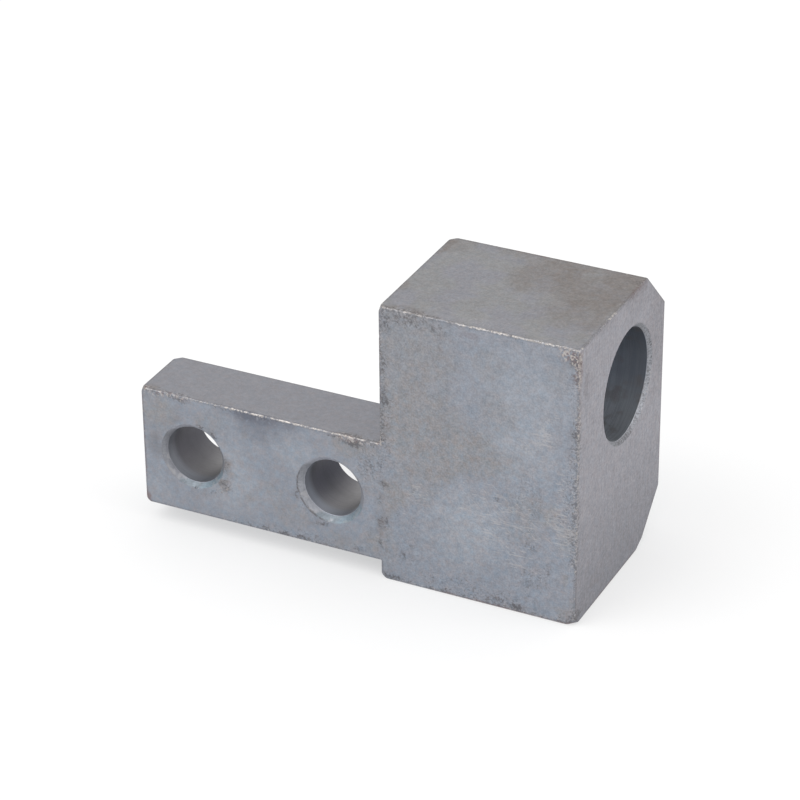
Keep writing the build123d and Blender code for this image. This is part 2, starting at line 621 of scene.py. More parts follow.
# The first table is painted sheen: soft spots where the mounting face is painted lighter, as if it
# reflected more light there.
SHEEN_SPOTS = (
    ("front", -1.0, -12.8, 7.0, 5.6, -15, 1.0),
    ("front", 5.0, 4.0, 8.5, 6.5, 0, 0.75),
    ("front", 4.6, -3.0, 6.5, 6.0, 0, 0.8),
    ("front", -3.4, -16.6, 6.0, 3.6, 0, 0.4),
    ("front", -28.4, -15.4, 6.0, 4.6, 0, 0.9),
    ("front", -28.4, -11.6, 4.0, 3.0, 0, 0.5),
    ("front", -20.6, -9.6, 4.4, 3.0, 0, 0.6),
    ("front", -37.4, -17.6, 2.6, 2.4, 0, 0.5),
)

TARNISH = (
    ("front", -7.5, 5.5, 6.5, 8.5, 0, 0.9),
    ("front", -6.5, -3.0, 8.0, 7.0, 0, 1.0),
    ("front", -0.8, -4.4, 4.2, 3.4, 0, 1.0),
    ("front", -3.6, -7.2, 2.6, 2.6, 20, 0.7),
    ("front", -7.6, -9.8, 4.6, 2.8, 15, 0.6),
    ("front", -9.8, -12.0, 2.2, 2.2, 0, 0.8),
    ("front", -10.6, -17.0, 1.8, 4.0, 0, 0.6),
    ("front", 2.4, 0.8, 3.2, 3.4, 0, 0.45),
    ("front", 3.4, -5.0, 2.6, 2.2, 0, 0.4),
    ("front", 5.8, -9.4, 3.8, 2.6, 0, 0.6),
    ("front", 8.6, -9.2, 1.4, 1.8, 0, 0.9),
    ("front", 9.6, -11.6, 1.5, 2.4, 0, 0.6),
    ("front", 5.4, -12.2, 2.2, 1.6, 0, 0.4),
    ("front", 10.0, -16.6, 0.7, 0.9, 0, 0.8),
    ("front", 8.7, 6.4, 1.8, 2.2, 0, 0.35),
    ("front", 1.2, 6.0, 2.6, 2.8, 0, 0.4),
    ("front", 10.2, -20.2, 1.8, 1.2, 0, 0.7),
    ("front", -38.0, -7.4, 3.0, 2.6, 0, 0.6),
    ("front", -36.6, -9.0, 2.2, 2.4, 0, 0.7),
    ("front", -30.8, -8.4, 2.6, 1.6, 0, 0.4),
    ("front", -14.2, -6.9, 3.6, 1.8, 0, 0.8),
    ("front", -12.4, -9.4, 1.8, 4.0, 0, 0.4),
    ("front", -29.0, -12.8, 0.9, 1.5, 0, 0.8),
    ("front", -29.6, -15.6, 1.2, 1.2, 0, 0.8),
    ("front", -28.2, -14.2, 0.8, 0.6, 0, 0.7),
    ("front", -24.2, -14.6, 0.7, 1.0, 0, 0.5),
    ("front", -26.2, -16.6, 0.8, 0.8, 0, 0.6),
    ("front", -23.3, -15.4, 0.8, 1.8, 0, 0.5),
    ("front", -21.4, -17.0, 2.8, 2.2, 0, 0.5),
    ("front", -15.6, -18.4, 2.6, 1.2, 0, 0.6),
    ("front", -12.2, -17.6, 1.6, 1.8, 0, 0.5),
    ("front", -26.6, -8.6, 0.8, 0.8, 0, 0.5),
    ("front", -24.1, -8.8, 0.7, 0.7, 0, 0.5),
    ("front", -32.4, -7.9, 0.8, 0.9, 0, 0.4),
    ("top", 7.6, 0.4, 6.4, 6.4, 0, 0.66),
    ("top", 1.6, 0.2, 5.0, 5.4, 12, 0.45),
    ("top", -0.4, -0.6, 2.2, 4.4, 0, 0.3),
    ("top", 2.6, 2.4, 2.6, 3.6, 0, 0.35),
    ("top", 2.0, 4.4, 12.0, 2.0, 0, 0.4),
    ("top", -9.6, 3.4, 2.4, 2.6, 0, 0.4),
    ("top", 9.8, 3.0, 3.0, 2.8, 0, 0.8),
    ("top", 8.4, -4.4, 4.6, 6.4, 10, 0.5),
    ("top", 9.9, -7.4, 1.6, 5.4, 0, 0.3),
    ("top", 5.4, -6.2, 3.6, 4.6, 14, 0.25),
    ("top", -10.4, 2.6, 0.9, 2.4, 0, 0.7),
    ("top", -10.6, -7.6, 0.7, 1.6, 0, 0.6),
    ("end", -10.6, 5.4, 1.1, 2.4, 0, 0.7),
    ("end", 9.0, 3.0, 6.4, 10.0, 0, 0.6),
    ("end", 2.0, 8.6, 5.0, 2.4, 0, 0.3),
    ("end", -7.6, -19.2, 1.8, 0.8, -20, 0.5),
    ("end", -5.6, -17.4, 0.6, 0.6, 0, 0.6),
)

SMUDGES = (
    ("front", -37.5, -12.2, 1.3, 2.9, 0, 1.0),
    ("front", -35.2, -9.0, 1.8, 0.9, 35, 0.5),
    ("front", -29.5, -15.3, 1.3, 1.2, 30, 0.7),
    ("front", -32.0, -16.9, 1.0, 0.5, 0, 0.4),
    ("front", -30.9, -9.4, 1.2, 0.5, -35, 0.5),
    ("front", -29.1, -13.2, 0.8, 2.2, 0, 0.8),
    ("front", -20.9, -14.6, 0.7, 1.6, -10, 0.5),
    ("front", -18.6, -17.2, 1.8, 0.6, 10, 0.5),
    ("front", -10.6, -10.4, 1.0, 0.9, 0, 0.9),
    ("front", -10.9, -14.9, 0.9, 1.7, 0, 0.9),
    ("front", -10.8, -4.6, 1.1, 1.6, 0, 0.5),
    ("front", -10.6, -0.8, 0.9, 2.0, 0, 0.4),
    ("front", 10.0, 8.6, 1.6, 1.4, 0, 0.8),
    ("front", 10.5, 6.9, 0.7, 0.6, 0, 0.6),
    ("front", 10.7, 0.6, 0.9, 1.8, 0, 0.6),
    ("front", 10.3, -21.0, 2.0, 1.2, 0, 0.3),
    ("front", 4.6, -21.3, 1.4, 0.8, 0, 0.5),
    ("front", -9.8, -21.5, 2.4, 0.8, 0, 0.4),
    ("top", 10.3, -0.8, 1.0, 4.4, 0, 0.4),
    ("end", -11.9, -20.6, 1.6, 1.4, 0, 0.5),
)

GRIME = (
    ("front", -7.8, 9.2, 4.0, 1.4, 0, 0.4),
    ("front", -4.2, 8.8, 1.8, 1.6, 0, 0.3),
    ("front", -10.5, 8.4, 1.2, 2.4, 0, 0.45),
    ("front", -10.6, 3.6, 0.8, 3.0, 0, 0.4),
    ("front", -10.5, -0.4, 0.8, 1.5, 0, 0.7),
    ("front", -11.0, -2.5, 0.8, 1.2, 0, 0.55),
    ("front", -10.9, -4.9, 1.0, 1.3, 0, 0.6),
    ("front", -10.5, -10.5, 1.0, 1.0, 0, 0.4),
    ("front", -11.0, -8.0, 0.7, 1.4, 0, 0.35),
    ("front", -10.6, -15.0, 1.0, 1.6, 0, 0.4),
    ("front", -9.0, -13.6, 0.6, 0.9, 0, 0.3),
    ("front", -11.0, -12.4, 0.7, 1.1, 0, 0.35),
    ("front", -8.5, -18.5, 0.7, 1.0, 0, 0.4),
    ("front", -11.0, -17.6, 0.5, 1.3, 0, 0.4),
    ("front", 10.3, 8.8, 1.0, 1.3, 0, 0.6),
    ("front", 10.4, 7.0, 0.4, 0.45, 0, 0.7),
    ("front", 10.7, 0.6, 0.6, 1.6, 0, 0.55),
    ("front", 4.6, -21.4, 1.1, 0.65, 0, 0.9),
    ("front", 2.2, -21.2, 2.4, 0.9, 0, 0.5),
    ("front", 10.4, -21.4, 1.2, 0.6, 0, 0.5),
    ("front", -9.8, -21.6, 2.2, 0.7, 0, 0.7),
    ("front", -4.0, -21.7, 3.0, 0.5, 0, 0.6),
    ("front", 7.8, -16.0, 1.1, 1.4, 0, 0.3),
    ("front", 5.4, -18.2, 1.6, 1.2, 0, 0.3),
    ("front", 2.1, -9.0, 0.6, 0.9, 0, 0.3),
    ("front", 2.5, 2.2, 0.5, 0.6, 0, 0.3),
    ("front", -7.2, -10.6, 0.8, 0.7, 0, 0.3),
    ("front", 5.8, -13.6, 1.8, 1.0, 0, 0.3),
    ("front", -32.2, -8.9, 0.8, 0.35, 0, 0.6),
    ("front", -30.6, -9.6, 0.7, 0.4, -40, 0.6),
    ("front", -29.2, -15.4, 1.4, 1.3, 30, 0.35),
    ("front", -29.1, -12.8, 0.6, 1.2, 0, 0.35),
    ("front", -30.8, -16.6, 0.8, 0.5, 20, 0.35),
    ("front", -20.5, -13.8, 0.35, 1.6, -10, 0.5),
    ("front", -17.8, -17.1, 1.2, 0.4, 0, 0.6),
    ("front", -22.3, -19.5, 1.3, 0.5, 0, 0.8),
    ("front", -20.0, -19.5, 1.5, 0.45, 0, 0.7),
    ("front", -24.6, -19.6, 1.0, 0.4, 0, 0.6),
    ("front", -13.6, -19.0, 1.1, 0.7, 0, 0.6),
    ("front", -14.0, -6.5, 1.7, 0.6, 0, 1.0),
    ("front", -16.4, -6.2, 1.8, 0.4, 0, 0.5),
    ("front", -12.3, -8.6, 1.1, 1.4, 0, 0.4),
    ("front", -34.4, -6.3, 1.4, 0.45, 0, 0.6),
    ("top", 10.9, 0.2, 0.4, 4.4, 0, 0.35),
    ("top", 10.4, 3.2, 0.9, 1.2, 0, 0.3),
    ("end", -12.0, -20.8, 1.6, 1.2, 0, 0.6),
    ("end", -3.4, -13.0, 0.5, 3.6, 0, 0.25),
    ("end", -5.4, -12.4, 0.4, 3.4, 0, 0.2),
)

UNDER_EDGE_STAIN = (
    ("front", -26.4, -5.9, 4.4, 1.6, 0, 0.8),
    ("front", -25.2, -7.0, 4.2, 3.2, 0, 0.5),
    ("front", -21.8, -6.1, 3.2, 1.6, 0, 0.5),
)

SCUFFS = (
    ("front", 8.2, 2.4, 1.1, 1.2, 0, 0.7),
    ("front", 7.0, 0.0, 1.1, 1.9, -20, 1.0),
    ("front", 5.8, -2.8, 1.2, 0.8, 20, 0.9),
    ("front", -4.2, -3.8, 0.5, 0.9, 0, 0.5),
    ("front", -1.0, -8.0, 1.6, 1.3, 0, 0.4),
    ("front", 4.6, 8.4, 2.6, 1.6, 0, 0.4),
    ("front", 7.6, 9.2, 3.6, 0.9, 0, 0.7),
    ("end", -10.6, -9.0, 1.6, 3.4, 0, 0.4),
    ("top", 5.0, -11.4, 6.0, 1.0, 0, 0.4),
    ("top", -1.4, -11.2, 5.0, 2.0, 0, 0.8),
)

SCRATCHED = (
    ("front", 3.0, -11.2, 10.0, 6.6, -8, 0.75),
    ("front", 9.4, -8.4, 2.0, 9.0, 0, 0.7),
    ("front", -6.8, -11.0, 2.8, 2.2, 0, 0.8),
    ("front", 6.8, -1.0, 2.4, 4.4, -15, 0.8),
    ("front", -8.0, -14.8, 3.0, 1.0, 0, 0.6),
    ("front", -1.4, 3.0, 2.4, 4.4, 10, 0.4),
    ("front", 5.0, -16.6, 4.4, 2.4, 0, 0.5),
)

PITTED = (
    ("front", -7.0, 6.5, 5.5, 5.5, 0, 0.6),
    ("front", -10.6, -2.0, 1.4, 12.0, 0, 1.0),
    ("front", 5.6, -7.6, 3.4, 4.4, 0, 0.8),
    ("front", 10.2, -8.0, 1.2, 14.0, 0, 1.0),
    ("front", 10.2, 6.0, 1.2, 5.0, 0, 0.8),
    ("front", 6.2, -17.6, 3.4, 2.8, 0, 1.0),
    ("front", 0.0, -20.6, 11.0, 1.6, 0, 1.0),
    ("front", -8.0, -17.6, 2.8, 2.8, 0, 0.7),
    ("front", -12.8, -9.0, 2.6, 4.2, 0, 1.0),
    ("front", -29.6, -14.6, 1.6, 2.6, 0, 0.8),
    ("front", -19.8, -15.2, 1.6, 2.4, 0, 0.7),
    ("front", -20.0, -19.2, 9.0, 0.9, 0, 0.8),
    ("end", -12.0, -6.0, 1.2, 16.0, 0, 0.6),
)

# Chips, where cream flecks and brown pits lie together
CHIPPED = (
    ("front", 9.9, 9.2, 1.7, 1.1, -20, 1.0),
    ("front", 10.8, 7.4, 0.5, 2.4, 0, 0.7),
    ("front", 10.9, 2.4, 0.4, 3.6, 0, 0.4),
    ("front", -11.0, 9.8, 0.6, 0.5, 0, 0.8),
    ("front", -38.7, -5.9, 0.6, 0.35, 0, 1.0),
    ("front", -11.0, -5.6, 0.5, 0.8, 0, 0.9),
    ("front", -35.6, -6.1, 3.6, 0.4, 0, 0.6),
    ("front", -14.6, -6.1, 3.0, 0.45, 0, 0.7),
    ("front", -29.6, -16.1, 1.2, 0.7, 30, 0.4),
    ("end", -12.2, 9.4, 0.5, 0.8, 0, 0.6),
)

# How strongly each stretch of edge shows bright flecks, dark nicks and rust
BRIGHT_EDGES = (
    ("front", 6.0, 10.0, 11.0, 1.4, 0, 1.0),
    ("front", -10.8, 10.0, 1.0, 0.8, 0, 1.0),
    ("front", -6.4, 10.0, 2.6, 1.0, 0, 0.5),
    ("front", -22.0, -5.8, 12.5, 1.2, 0, 1.0),
    ("front", -38.8, -5.8, 0.8, 0.7, 0, 1.0),
    ("front", -11.1, -5.5, 0.7, 1.0, 0, 1.0),
    ("front", 11.0, 8.6, 1.0, 1.4, 0, 0.9),
    ("front", 11.0, -5.0, 1.0, 12.0, 0, 0.35),
    ("top", 11.0, -4.5, 1.0, 1.2, 0, 0.9),
)

DARK_EDGES = (
    ("front", 11.0, 8.0, 2.0, 3.2, 0, 0.8),
    ("front", 11.0, 0.4, 1.6, 3.4, 0, 0.8),
    ("front", 11.0, -4.0, 1.6, 5.0, 0, 0.7),
    ("front", 11.0, -10.5, 2.2, 7.0, 0, 1.0),
    ("front", 10.6, -21.4, 2.4, 2.0, 0, 1.0),
    ("front", -7.5, 10.1, 4.6, 2.4, 0, 0.9),
    ("front", 4.0, 10.1, 8.0, 1.0, 0, 0.3),
    ("front", 0.0, -21.9, 12.0, 1.4, 0, 0.8),
    ("front", -11.0, 3.0, 1.6, 8.0, 0, 0.7),
    ("front", -11.0, -4.0, 2.0, 3.0, 0, 1.0),
    ("front", -36.0, -5.8, 4.0, 1.2, 0, 0.8),
    ("front", -26.0, -5.8, 6.0, 1.0, 0, 0.6),
    ("front", -14.0, -5.8, 3.6, 1.6, 0, 1.0),
    ("front", -22.0, -19.8, 12.0, 1.2, 0, 0.6),
    ("top", 11.0, 0.0, 1.6, 14.0, 0, 0.15),
)

RUST = (
    ("front", 10.9, 9.0, 0.5, 1.4, 0, 0.5),
    ("front", 10.4, 6.9, 0.35, 0.45, 0, 0.6),
    ("front", 10.2, -21.8, 2.2, 0.45, 0, 0.8),
    ("front", 2.0, -21.9, 9.5, 0.45, 0, 0.7),
    ("front", -11.1, 4.0, 0.35, 7.0, 0, 0.4),
    ("front", -38.9, -19.4, 0.8, 1.0, 0, 0.9),
    ("front", -39.1, -13.0, 0.4, 7.0, 0, 0.4),
    ("front", -1.0, 9.0, 1.2, 0.5, 0, 0.3),
    ("top", 1.0, 4.7, 11.0, 0.35, 0, 0.6),
    ("top", 11.0, 2.0, 0.3, 3.0, 0, 0.4),
    ("end", -3.0, -21.9, 9.0, 0.4, 0, 0.6),
    ("end", -12.3, 7.6, 0.5, 1.8, 0, 0.5),
)


# Metal: node groups


class NodeSheet:
    """Lays nodes in one tree. An input is a socket to link or a plain value to set."""

    def __init__(self, tree):
        self.tree = tree

    def feed(self, socket, value):
        """Links a socket into an input, or sets a plain value on it; a plain colour is three values."""
        if isinstance(value, NodeSocket):
            self.tree.links.new(value, socket)
        else:
            socket.default_value = (*value, 1) if socket.type == "RGBA" else value

    def put(self, kind, inputs, **settings):
        """One node with its settings and inputs."""
        node = self.tree.nodes.new("ShaderNode" + kind)
        for name, value in settings.items():
            setattr(node, name, value)
        for key, value in inputs.items():
            self.feed(node.inputs[key], value)
        return node

    def use(self, group, **inputs):
        """One of the groups, its inputs named by their labels. Gives its only output, or all of them."""
        node = self.put("Group", {}, node_tree=group)
        for label, value in inputs.items():
            self.feed(node.inputs[label], value)
        return node.outputs[0] if len(node.outputs) == 1 else node.outputs

    def math(self, operation, first, second=0.0, clamp=False):
        """One operation on two values."""
        return self.put("Math", {0: first, 1: second}, operation=operation, use_clamp=clamp).outputs[0]

    def plus(self, first, second):
        """Two values added up."""
        return self.math("ADD", first, second)

    def less(self, first, second):
        """One value less another."""
        return self.math("SUBTRACT", first, second)

    def times(self, first, second):
        """Two values multiplied."""
        return self.math("MULTIPLY", first, second)

    def size_of(self, value):
        """A value without its sign."""
        return self.math("ABSOLUTE", value)

    def vector(self, operation, first, second):
        """A vector worked out from two vectors."""
        return self.put("VectorMath", {0: first, 1: second}, operation=operation).outputs["Vector"]

    def reach(self, position, way):
        """How far a position lies along a way, whose length scales it."""
        return self.put("VectorMath", {0: position, 1: way}, operation="DOT_PRODUCT").outputs["Value"]

    def distance(self, position):
        """How far a position lies from the origin."""
        return self.put("VectorMath", {0: position}, operation="LENGTH").outputs["Value"]

    def parts(self, position):
        """A position's x, y and z."""
        return self.put("SeparateXYZ", {0: position}).outputs

    def ranged(self, value, low, high, to_low, to_high, **settings):
        """A value taken from one range to another."""
        inputs = {"Value": value, "From Min": low, "From Max": high, "To Min": to_low, "To Max": to_high}
        return self.put("MapRange", inputs, **settings).outputs["Result"]

    def ease(self, value, low, high, to_low=0.0, to_high=1.0):
        """Smooth step of a value from one range to another."""
        return self.ranged(value, low, high, to_low, to_high, interpolation_type="SMOOTHSTEP", clamp=False)

    def line(self, value, low, high, to_low=0.0, to_high=1.0):
        """Straight run of a value from one range to another, held at both ends."""
        return self.ranged(value, low, high, to_low, to_high)

    def noise(self, position, scale, detail=0.0, roughness=0.5):
        """Noise between 0 and 1."""
        inputs = {"Vector": position, "Scale": scale, "Detail": detail, "Roughness": roughness}
        return self.put("TexNoise", inputs).outputs[0]

    def swing(self, position, scale, reach, detail=0.0, roughness=0.5):
        """Noise around nought, from minus half the reach to plus half of it."""
        return self.times(self.less(self.noise(position, scale, detail, roughness), 0.5), reach)

    def mix(self, share, first, second, blend="MIX"):
        """The second colour laid over the first by a share."""
        inputs = {0: share, 6: first, 7: second}
        return self.put("Mix", inputs, data_type="RGBA", blend_type=blend).outputs[2]

    def lay(self, colour, share, paint, most=1.0):
        """Lays a plain colour over another where the share is 1, covering at most this much of it."""
        return self.mix(self.times(share, most), colour, paint)

    def strongest(self, *shares):
        """The largest of several masks, each held to the most that it may cover."""
        most_yet = 0.0
        for mask, most in shares:
            most_yet = self.math("MAXIMUM", self.times(mask, most), most_yet)
        return most_yet

    def lighten(self, colour, gain):
        """A colour times a plain value."""
        return self.put("HueSaturation", {"Value": gain, "Color": colour}).outputs[0]


SOCKETS = {"FLOAT": "NodeSocketFloat", "VECTOR": "NodeSocketVector"}
ON_PLACE = {"Position": "VECTOR"}
MASK = {"Mask": "FLOAT"}

# Noises that several marks share: scale, detail and roughness
FINE_BREAK = (4.0, 2.0, 0.6)
FLECKS = (4.2, 1.5, 0.6)

# The mounting face in millimetres, and a gap that no edge is within
FRONT_Y = LOW.y / MM
FAR_OFF = 20.0

# Shifts that keep noises of one kind from matching
OTHER_PLACE = (7, 3, 5)
WARMTH_PLACE = (11, 17, 23)
DASHES_PLACE = (3, 9, 1)


def new_group(name, inputs, outputs):
    """A shader node group; each input and output is a label and a type. Gives its sheet and sockets."""
    group = bpy.data.node_groups.new(name, "ShaderNodeTree")
    for way, sockets in (("INPUT", inputs), ("OUTPUT", outputs)):
        for label, kind in sockets.items():
            group.interface.new_socket(name=label, in_out=way, socket_type=SOCKETS[kind])
    ins = group.nodes.new("NodeGroupInput").outputs
    outs = group.nodes.new("NodeGroupOutput").inputs
    return NodeSheet(group), ins, outs


def soft_spot_group():
    """An egg-shaped spot that fades out to its edge."""
    inputs = {
        "Position": "VECTOR", "Centre": "VECTOR", "Turn": "VECTOR", "Reach": "VECTOR",
        "Softness": "FLOAT", "Strength": "FLOAT",
    }
    sheet, ins, outs = new_group("soft_spot", inputs, MASK)
    mapping = {
        "Vector": ins["Position"], "Location": ins["Centre"],
        "Rotation": ins["Turn"], "Scale": ins["Reach"],
    }
    place = sheet.put("Mapping", mapping, vector_type="TEXTURE").outputs[0]
    inside = sheet.put("TexGradient", {"Vector": place}, gradient_type="SPHERICAL").outputs["Fac"]
    sheet.feed(outs["Mask"], sheet.ease(inside, 0.0, ins["Softness"], 0.0, ins["Strength"]))
    return sheet.tree


def stain_group(name, spots, spot_group, softness, depth):
    """All spots of one kind, added up and held to 1."""
    sheet, ins, outs = new_group(name, ON_PLACE, MASK)
    total = 0.0
    for face, across, up, reach_across, reach_up, degrees, strength in spots:
        turn = math.radians(degrees)
        centre, turns, reach = {
            "front": ((across, FRONT_Y, up), (0, -turn, 0), (reach_across, depth, reach_up)),
            "top": ((across, up, HIGH.z / MM), (0, 0, turn), (reach_across, reach_up, depth)),
            "end": ((HIGH.x / MM, across, up), (turn, 0, 0), (depth, reach_across, reach_up)),
        }[face]
        mask = sheet.use(
            spot_group, Position=ins["Position"], Centre=centre, Turn=turns, Reach=reach,
            Softness=softness, Strength=strength,
        )
        total = sheet.plus(total, mask)
    sheet.feed(outs["Mask"], sheet.math("MINIMUM", total, 1.0))
    return sheet.tree


def ragged_group():
    """Shifts a position by noise, so that what is drawn with it has ragged edges."""
    inputs = {"Position": "VECTOR", "Scale": "FLOAT", "Shift": "FLOAT"}
    sheet, ins, outs = new_group("ragged_position", inputs, ON_PLACE)
    noise = sheet.put("TexNoise", {"Vector": ins["Position"], "Scale": ins["Scale"], "Detail": 2.0})
    way = sheet.vector("SUBTRACT", noise.outputs["Color"], (0.5, 0.5, 0.5))
    shift = sheet.put("VectorMath", {0: way, "Scale": ins["Shift"]}, operation="SCALE").outputs["Vector"]
    sheet.feed(outs["Position"], sheet.vector("ADD", ins["Position"], shift))
    return sheet.tree


def grain_group():
    """Mottled brightness around 1, at three scales."""
    inputs = {"Position": "VECTOR", "Fine": "FLOAT", "Middle": "FLOAT", "Broad": "FLOAT"}
    sheet, ins, outs = new_group("grain", inputs, {"Brightness": "FLOAT"})
    brightness = 1.0
    for label, scale in (("Fine", 5.5), ("Middle", 2.1), ("Broad", 0.7)):
        brightness = sheet.plus(brightness, sheet.swing(ins["Position"], scale, ins[label], 1.0))
    sheet.feed(outs["Brightness"], brightness)
    return sheet.tree


def peaks(sheet, value, amount, softness):
    """The peaks of a noise: more of it the larger the amount."""
    level = sheet.line(amount, 0.0, 1.0, 0.8, 0.42)
    return sheet.ease(value, level, sheet.plus(level, softness))


def specks_group():
    """Small separate specks; a larger amount gives more of them."""
    inputs = {"Position": "VECTOR", "Scale": "FLOAT", "Amount": "FLOAT"}
    sheet, ins, outs = new_group("specks", inputs, MASK)
    value = sheet.noise(ins["Position"], ins["Scale"], 1.0, 0.6)
    sheet.feed(outs["Mask"], peaks(sheet, value, ins["Amount"], 0.09))
    return sheet.tree


def strokes_group():
    """Thin strokes that run one way: noise drawn out along it."""
    inputs = {"Position": "VECTOR", "Turn": "VECTOR", "Fineness": "VECTOR", "Amount": "FLOAT"}
    sheet, ins, outs = new_group("strokes", inputs, MASK)
    turned = sheet.put("Mapping", {"Vector": ins["Position"], "Rotation": ins["Turn"]}).outputs[0]
    value = sheet.noise(sheet.vector("MULTIPLY", turned, ins["Fineness"]), 1.0, 1.0, 0.6)
    sheet.feed(outs["Mask"], peaks(sheet, value, ins["Amount"], 0.1))
    return sheet.tree


def bitten_group():
    """Where a nick has bitten the metal by this depth, broken up by noise."""
    sheet, ins, outs = new_group("bitten", {"Position": "VECTOR", "Depth": "FLOAT"}, MASK)
    broken = sheet.ease(sheet.noise(ins["Position"], *FINE_BREAK), 0.4, 0.6)
    sheet.feed(outs["Mask"], sheet.times(sheet.ease(ins["Depth"], 0.004, 0.03), broken))
    return sheet.tree


def bore_place_group(sizes):
    """Where a point lies on the bore. Gap is its distance from the axis and Past Rim how far it lies out
    past the mouth's rim, which is drawn a little ragged. The rim is chipped where Low Right is 1, and Chips
    are its cream chips."""
    labels = ("Gap", "Past Rim", "Low Right", "Chips")
    sheet, ins, outs = new_group("bore_place", ON_PLACE, dict.fromkeys(labels, "FLOAT"))
    gap = sheet.distance(sheet.vector("MULTIPLY", ins["Position"], (0, 1, 1)))
    past_rim = sheet.less(gap, (BORE_RADIUS + sizes.bore_mouth) / MM)
    past_rim = sheet.plus(past_rim, sheet.swing(ins["Position"], 2.2, 0.3, 2.0))
    low_right = sheet.ease(sheet.reach(ins["Position"], (0, 0.6, -0.8)), 3.4, 5.2)
    low_right = sheet.times(low_right, sheet.ease(sheet.parts(ins["Position"])["Z"], -6.0, -5.2))
    flecks = sheet.noise(sheet.vector("ADD", ins["Position"], OTHER_PLACE), *FLECKS)
    chips = sheet.times(sheet.ease(flecks, 0.46, 0.58), low_right)
    for label, reading in zip(labels, (gap, past_rim, low_right, chips)):
        sheet.feed(outs[label], reading)
    return sheet.tree


def bolt_hole_place_group(sizes):
    """Where a point lies on the nearer bolt hole. Near is 1 on the hole beside the block. Beside and Height
    are its way right of and above the axis, in radii. Gap is its distance from the axis, and Past Rim how
    far it lies out past the mouth's rim, which is drawn a little ragged. Border is the dark line along the
    rim, strongest low on the left and on the hole beside the block."""
    labels = ("Near", "Beside", "Height", "Gap", "Past Rim", "Border")
    sheet, ins, outs = new_group("bolt_hole_place", ON_PLACE, dict.fromkeys(labels, "FLOAT"))
    radius = BOLT_HOLE_RADIUS / MM
    place = sheet.parts(ins["Position"])
    near = sheet.math("GREATER_THAN", place["X"], BOLTS_CENTRE.x / MM)
    beside = sheet.less(place["X"], sheet.line(near, 0.0, 1.0, END_BOLT_X / MM, NEAR_BOLT_X / MM))
    height = sheet.less(place["Z"], BOLTS_CENTRE.z / MM)
    gap = sheet.distance(sheet.put("CombineXYZ", {"X": beside, "Z": height}).outputs[0])
    mouth = sheet.line(near, 0.0, 1.0, sizes.end_hole_mouth / MM, sizes.near_hole_mouth / MM)
    past_rim = sheet.less(sheet.less(gap, radius), mouth)
    past_rim = sheet.plus(past_rim, sheet.swing(ins["Position"], 1.6, 0.25, 2.0))
    beside, height = sheet.math("DIVIDE", beside, radius), sheet.math("DIVIDE", height, radius)
    left_low = sheet.times(sheet.ease(beside, 0.1, -0.4), sheet.ease(height, 0.7, 0.2))
    border = sheet.times(sheet.ease(sheet.size_of(past_rim), 0.13, 0.04), left_low)
    border = sheet.times(border, sheet.line(near, 0.0, 1.0, 0.12, 0.6))
    broken = sheet.ease(sheet.noise(ins["Position"], *FINE_BREAK), 0.36, 0.5, 0.3, 1.0)
    readings = (near, beside, height, gap, past_rim, sheet.times(border, broken))
    for label, reading in zip(labels, readings):
        sheet.feed(outs[label], reading)
    return sheet.tree


def second_smallest(sheet, values):
    """Of the depths under several faces, the second: on the surface, the distance to the nearest edge."""
    nearest, second = values[0], None
    for value in values[1:]:
        farther = sheet.math("MAXIMUM", nearest, value)
        second = farther if second is None else sheet.math("MINIMUM", second, farther)
        nearest = sheet.math("MINIMUM", nearest, value)
    return second


def edge_gap_group(sizes):
    """Millimetres from a point on the surface to the nearest outer edge of the block or the arm."""
    sheet, ins, outs = new_group("edge_gap", ON_PLACE, {"Gap": "FLOAT"})
    places = {name: value / MM for name, value in body_places(sizes).items()}
    low, high = LOW / MM, HIGH / MM
    chamfer = sizes.back_chamfer / MM
    slope = math.sqrt(0.5)

    def depth(inward, face_at):
        """Depth under a plane; face_at is how far the plane lies along the inward direction."""
        return sheet.less(sheet.reach(ins["Position"], inward), face_at)

    across, deep, up = sheet.parts(ins["Position"])
    below_top = sheet.math("LESS_THAN", up, places["arm_top"])
    behind_arm = sheet.times(below_top, sheet.math("GREATER_THAN", up, places["arm_low"]))
    behind_arm = sheet.times(behind_arm, sheet.math("LESS_THAN", deep, places["arm_back"]))
    shoulder = sheet.plus(depth((1, 0, 0), places["shoulder"]), sheet.times(behind_arm, FAR_OFF))
    block = [
        shoulder, depth((-1, 0, 0), -high.x), depth((0, 1, 0), low.y), depth((0, -1, 0), -high.y),
        depth((0, 0, 1), low.z), depth((0, 0, -1), -high.z),
        depth((0, -slope, -slope), (chamfer - high.y - high.z) * slope),
        depth((0, -slope, slope), (chamfer - high.y + low.z) * slope),
    ]
    arm = [
        depth((1, 0, 0), low.x), depth((0, 1, 0), low.y), depth((0, -1, 0), -places["arm_back"]),
        depth((0, 0, 1), places["arm_low"]), depth((0, 0, -1), -places["arm_top"]),
    ]
    on_block = sheet.math("GREATER_THAN", across, places["shoulder"] - sizes.edge_radius / MM)
    block_gap, arm_gap = second_smallest(sheet, block), second_smallest(sheet, arm)
    sheet.feed(outs["Gap"], sheet.plus(arm_gap, sheet.times(on_block, sheet.less(block_gap, arm_gap))))
    return sheet.tree


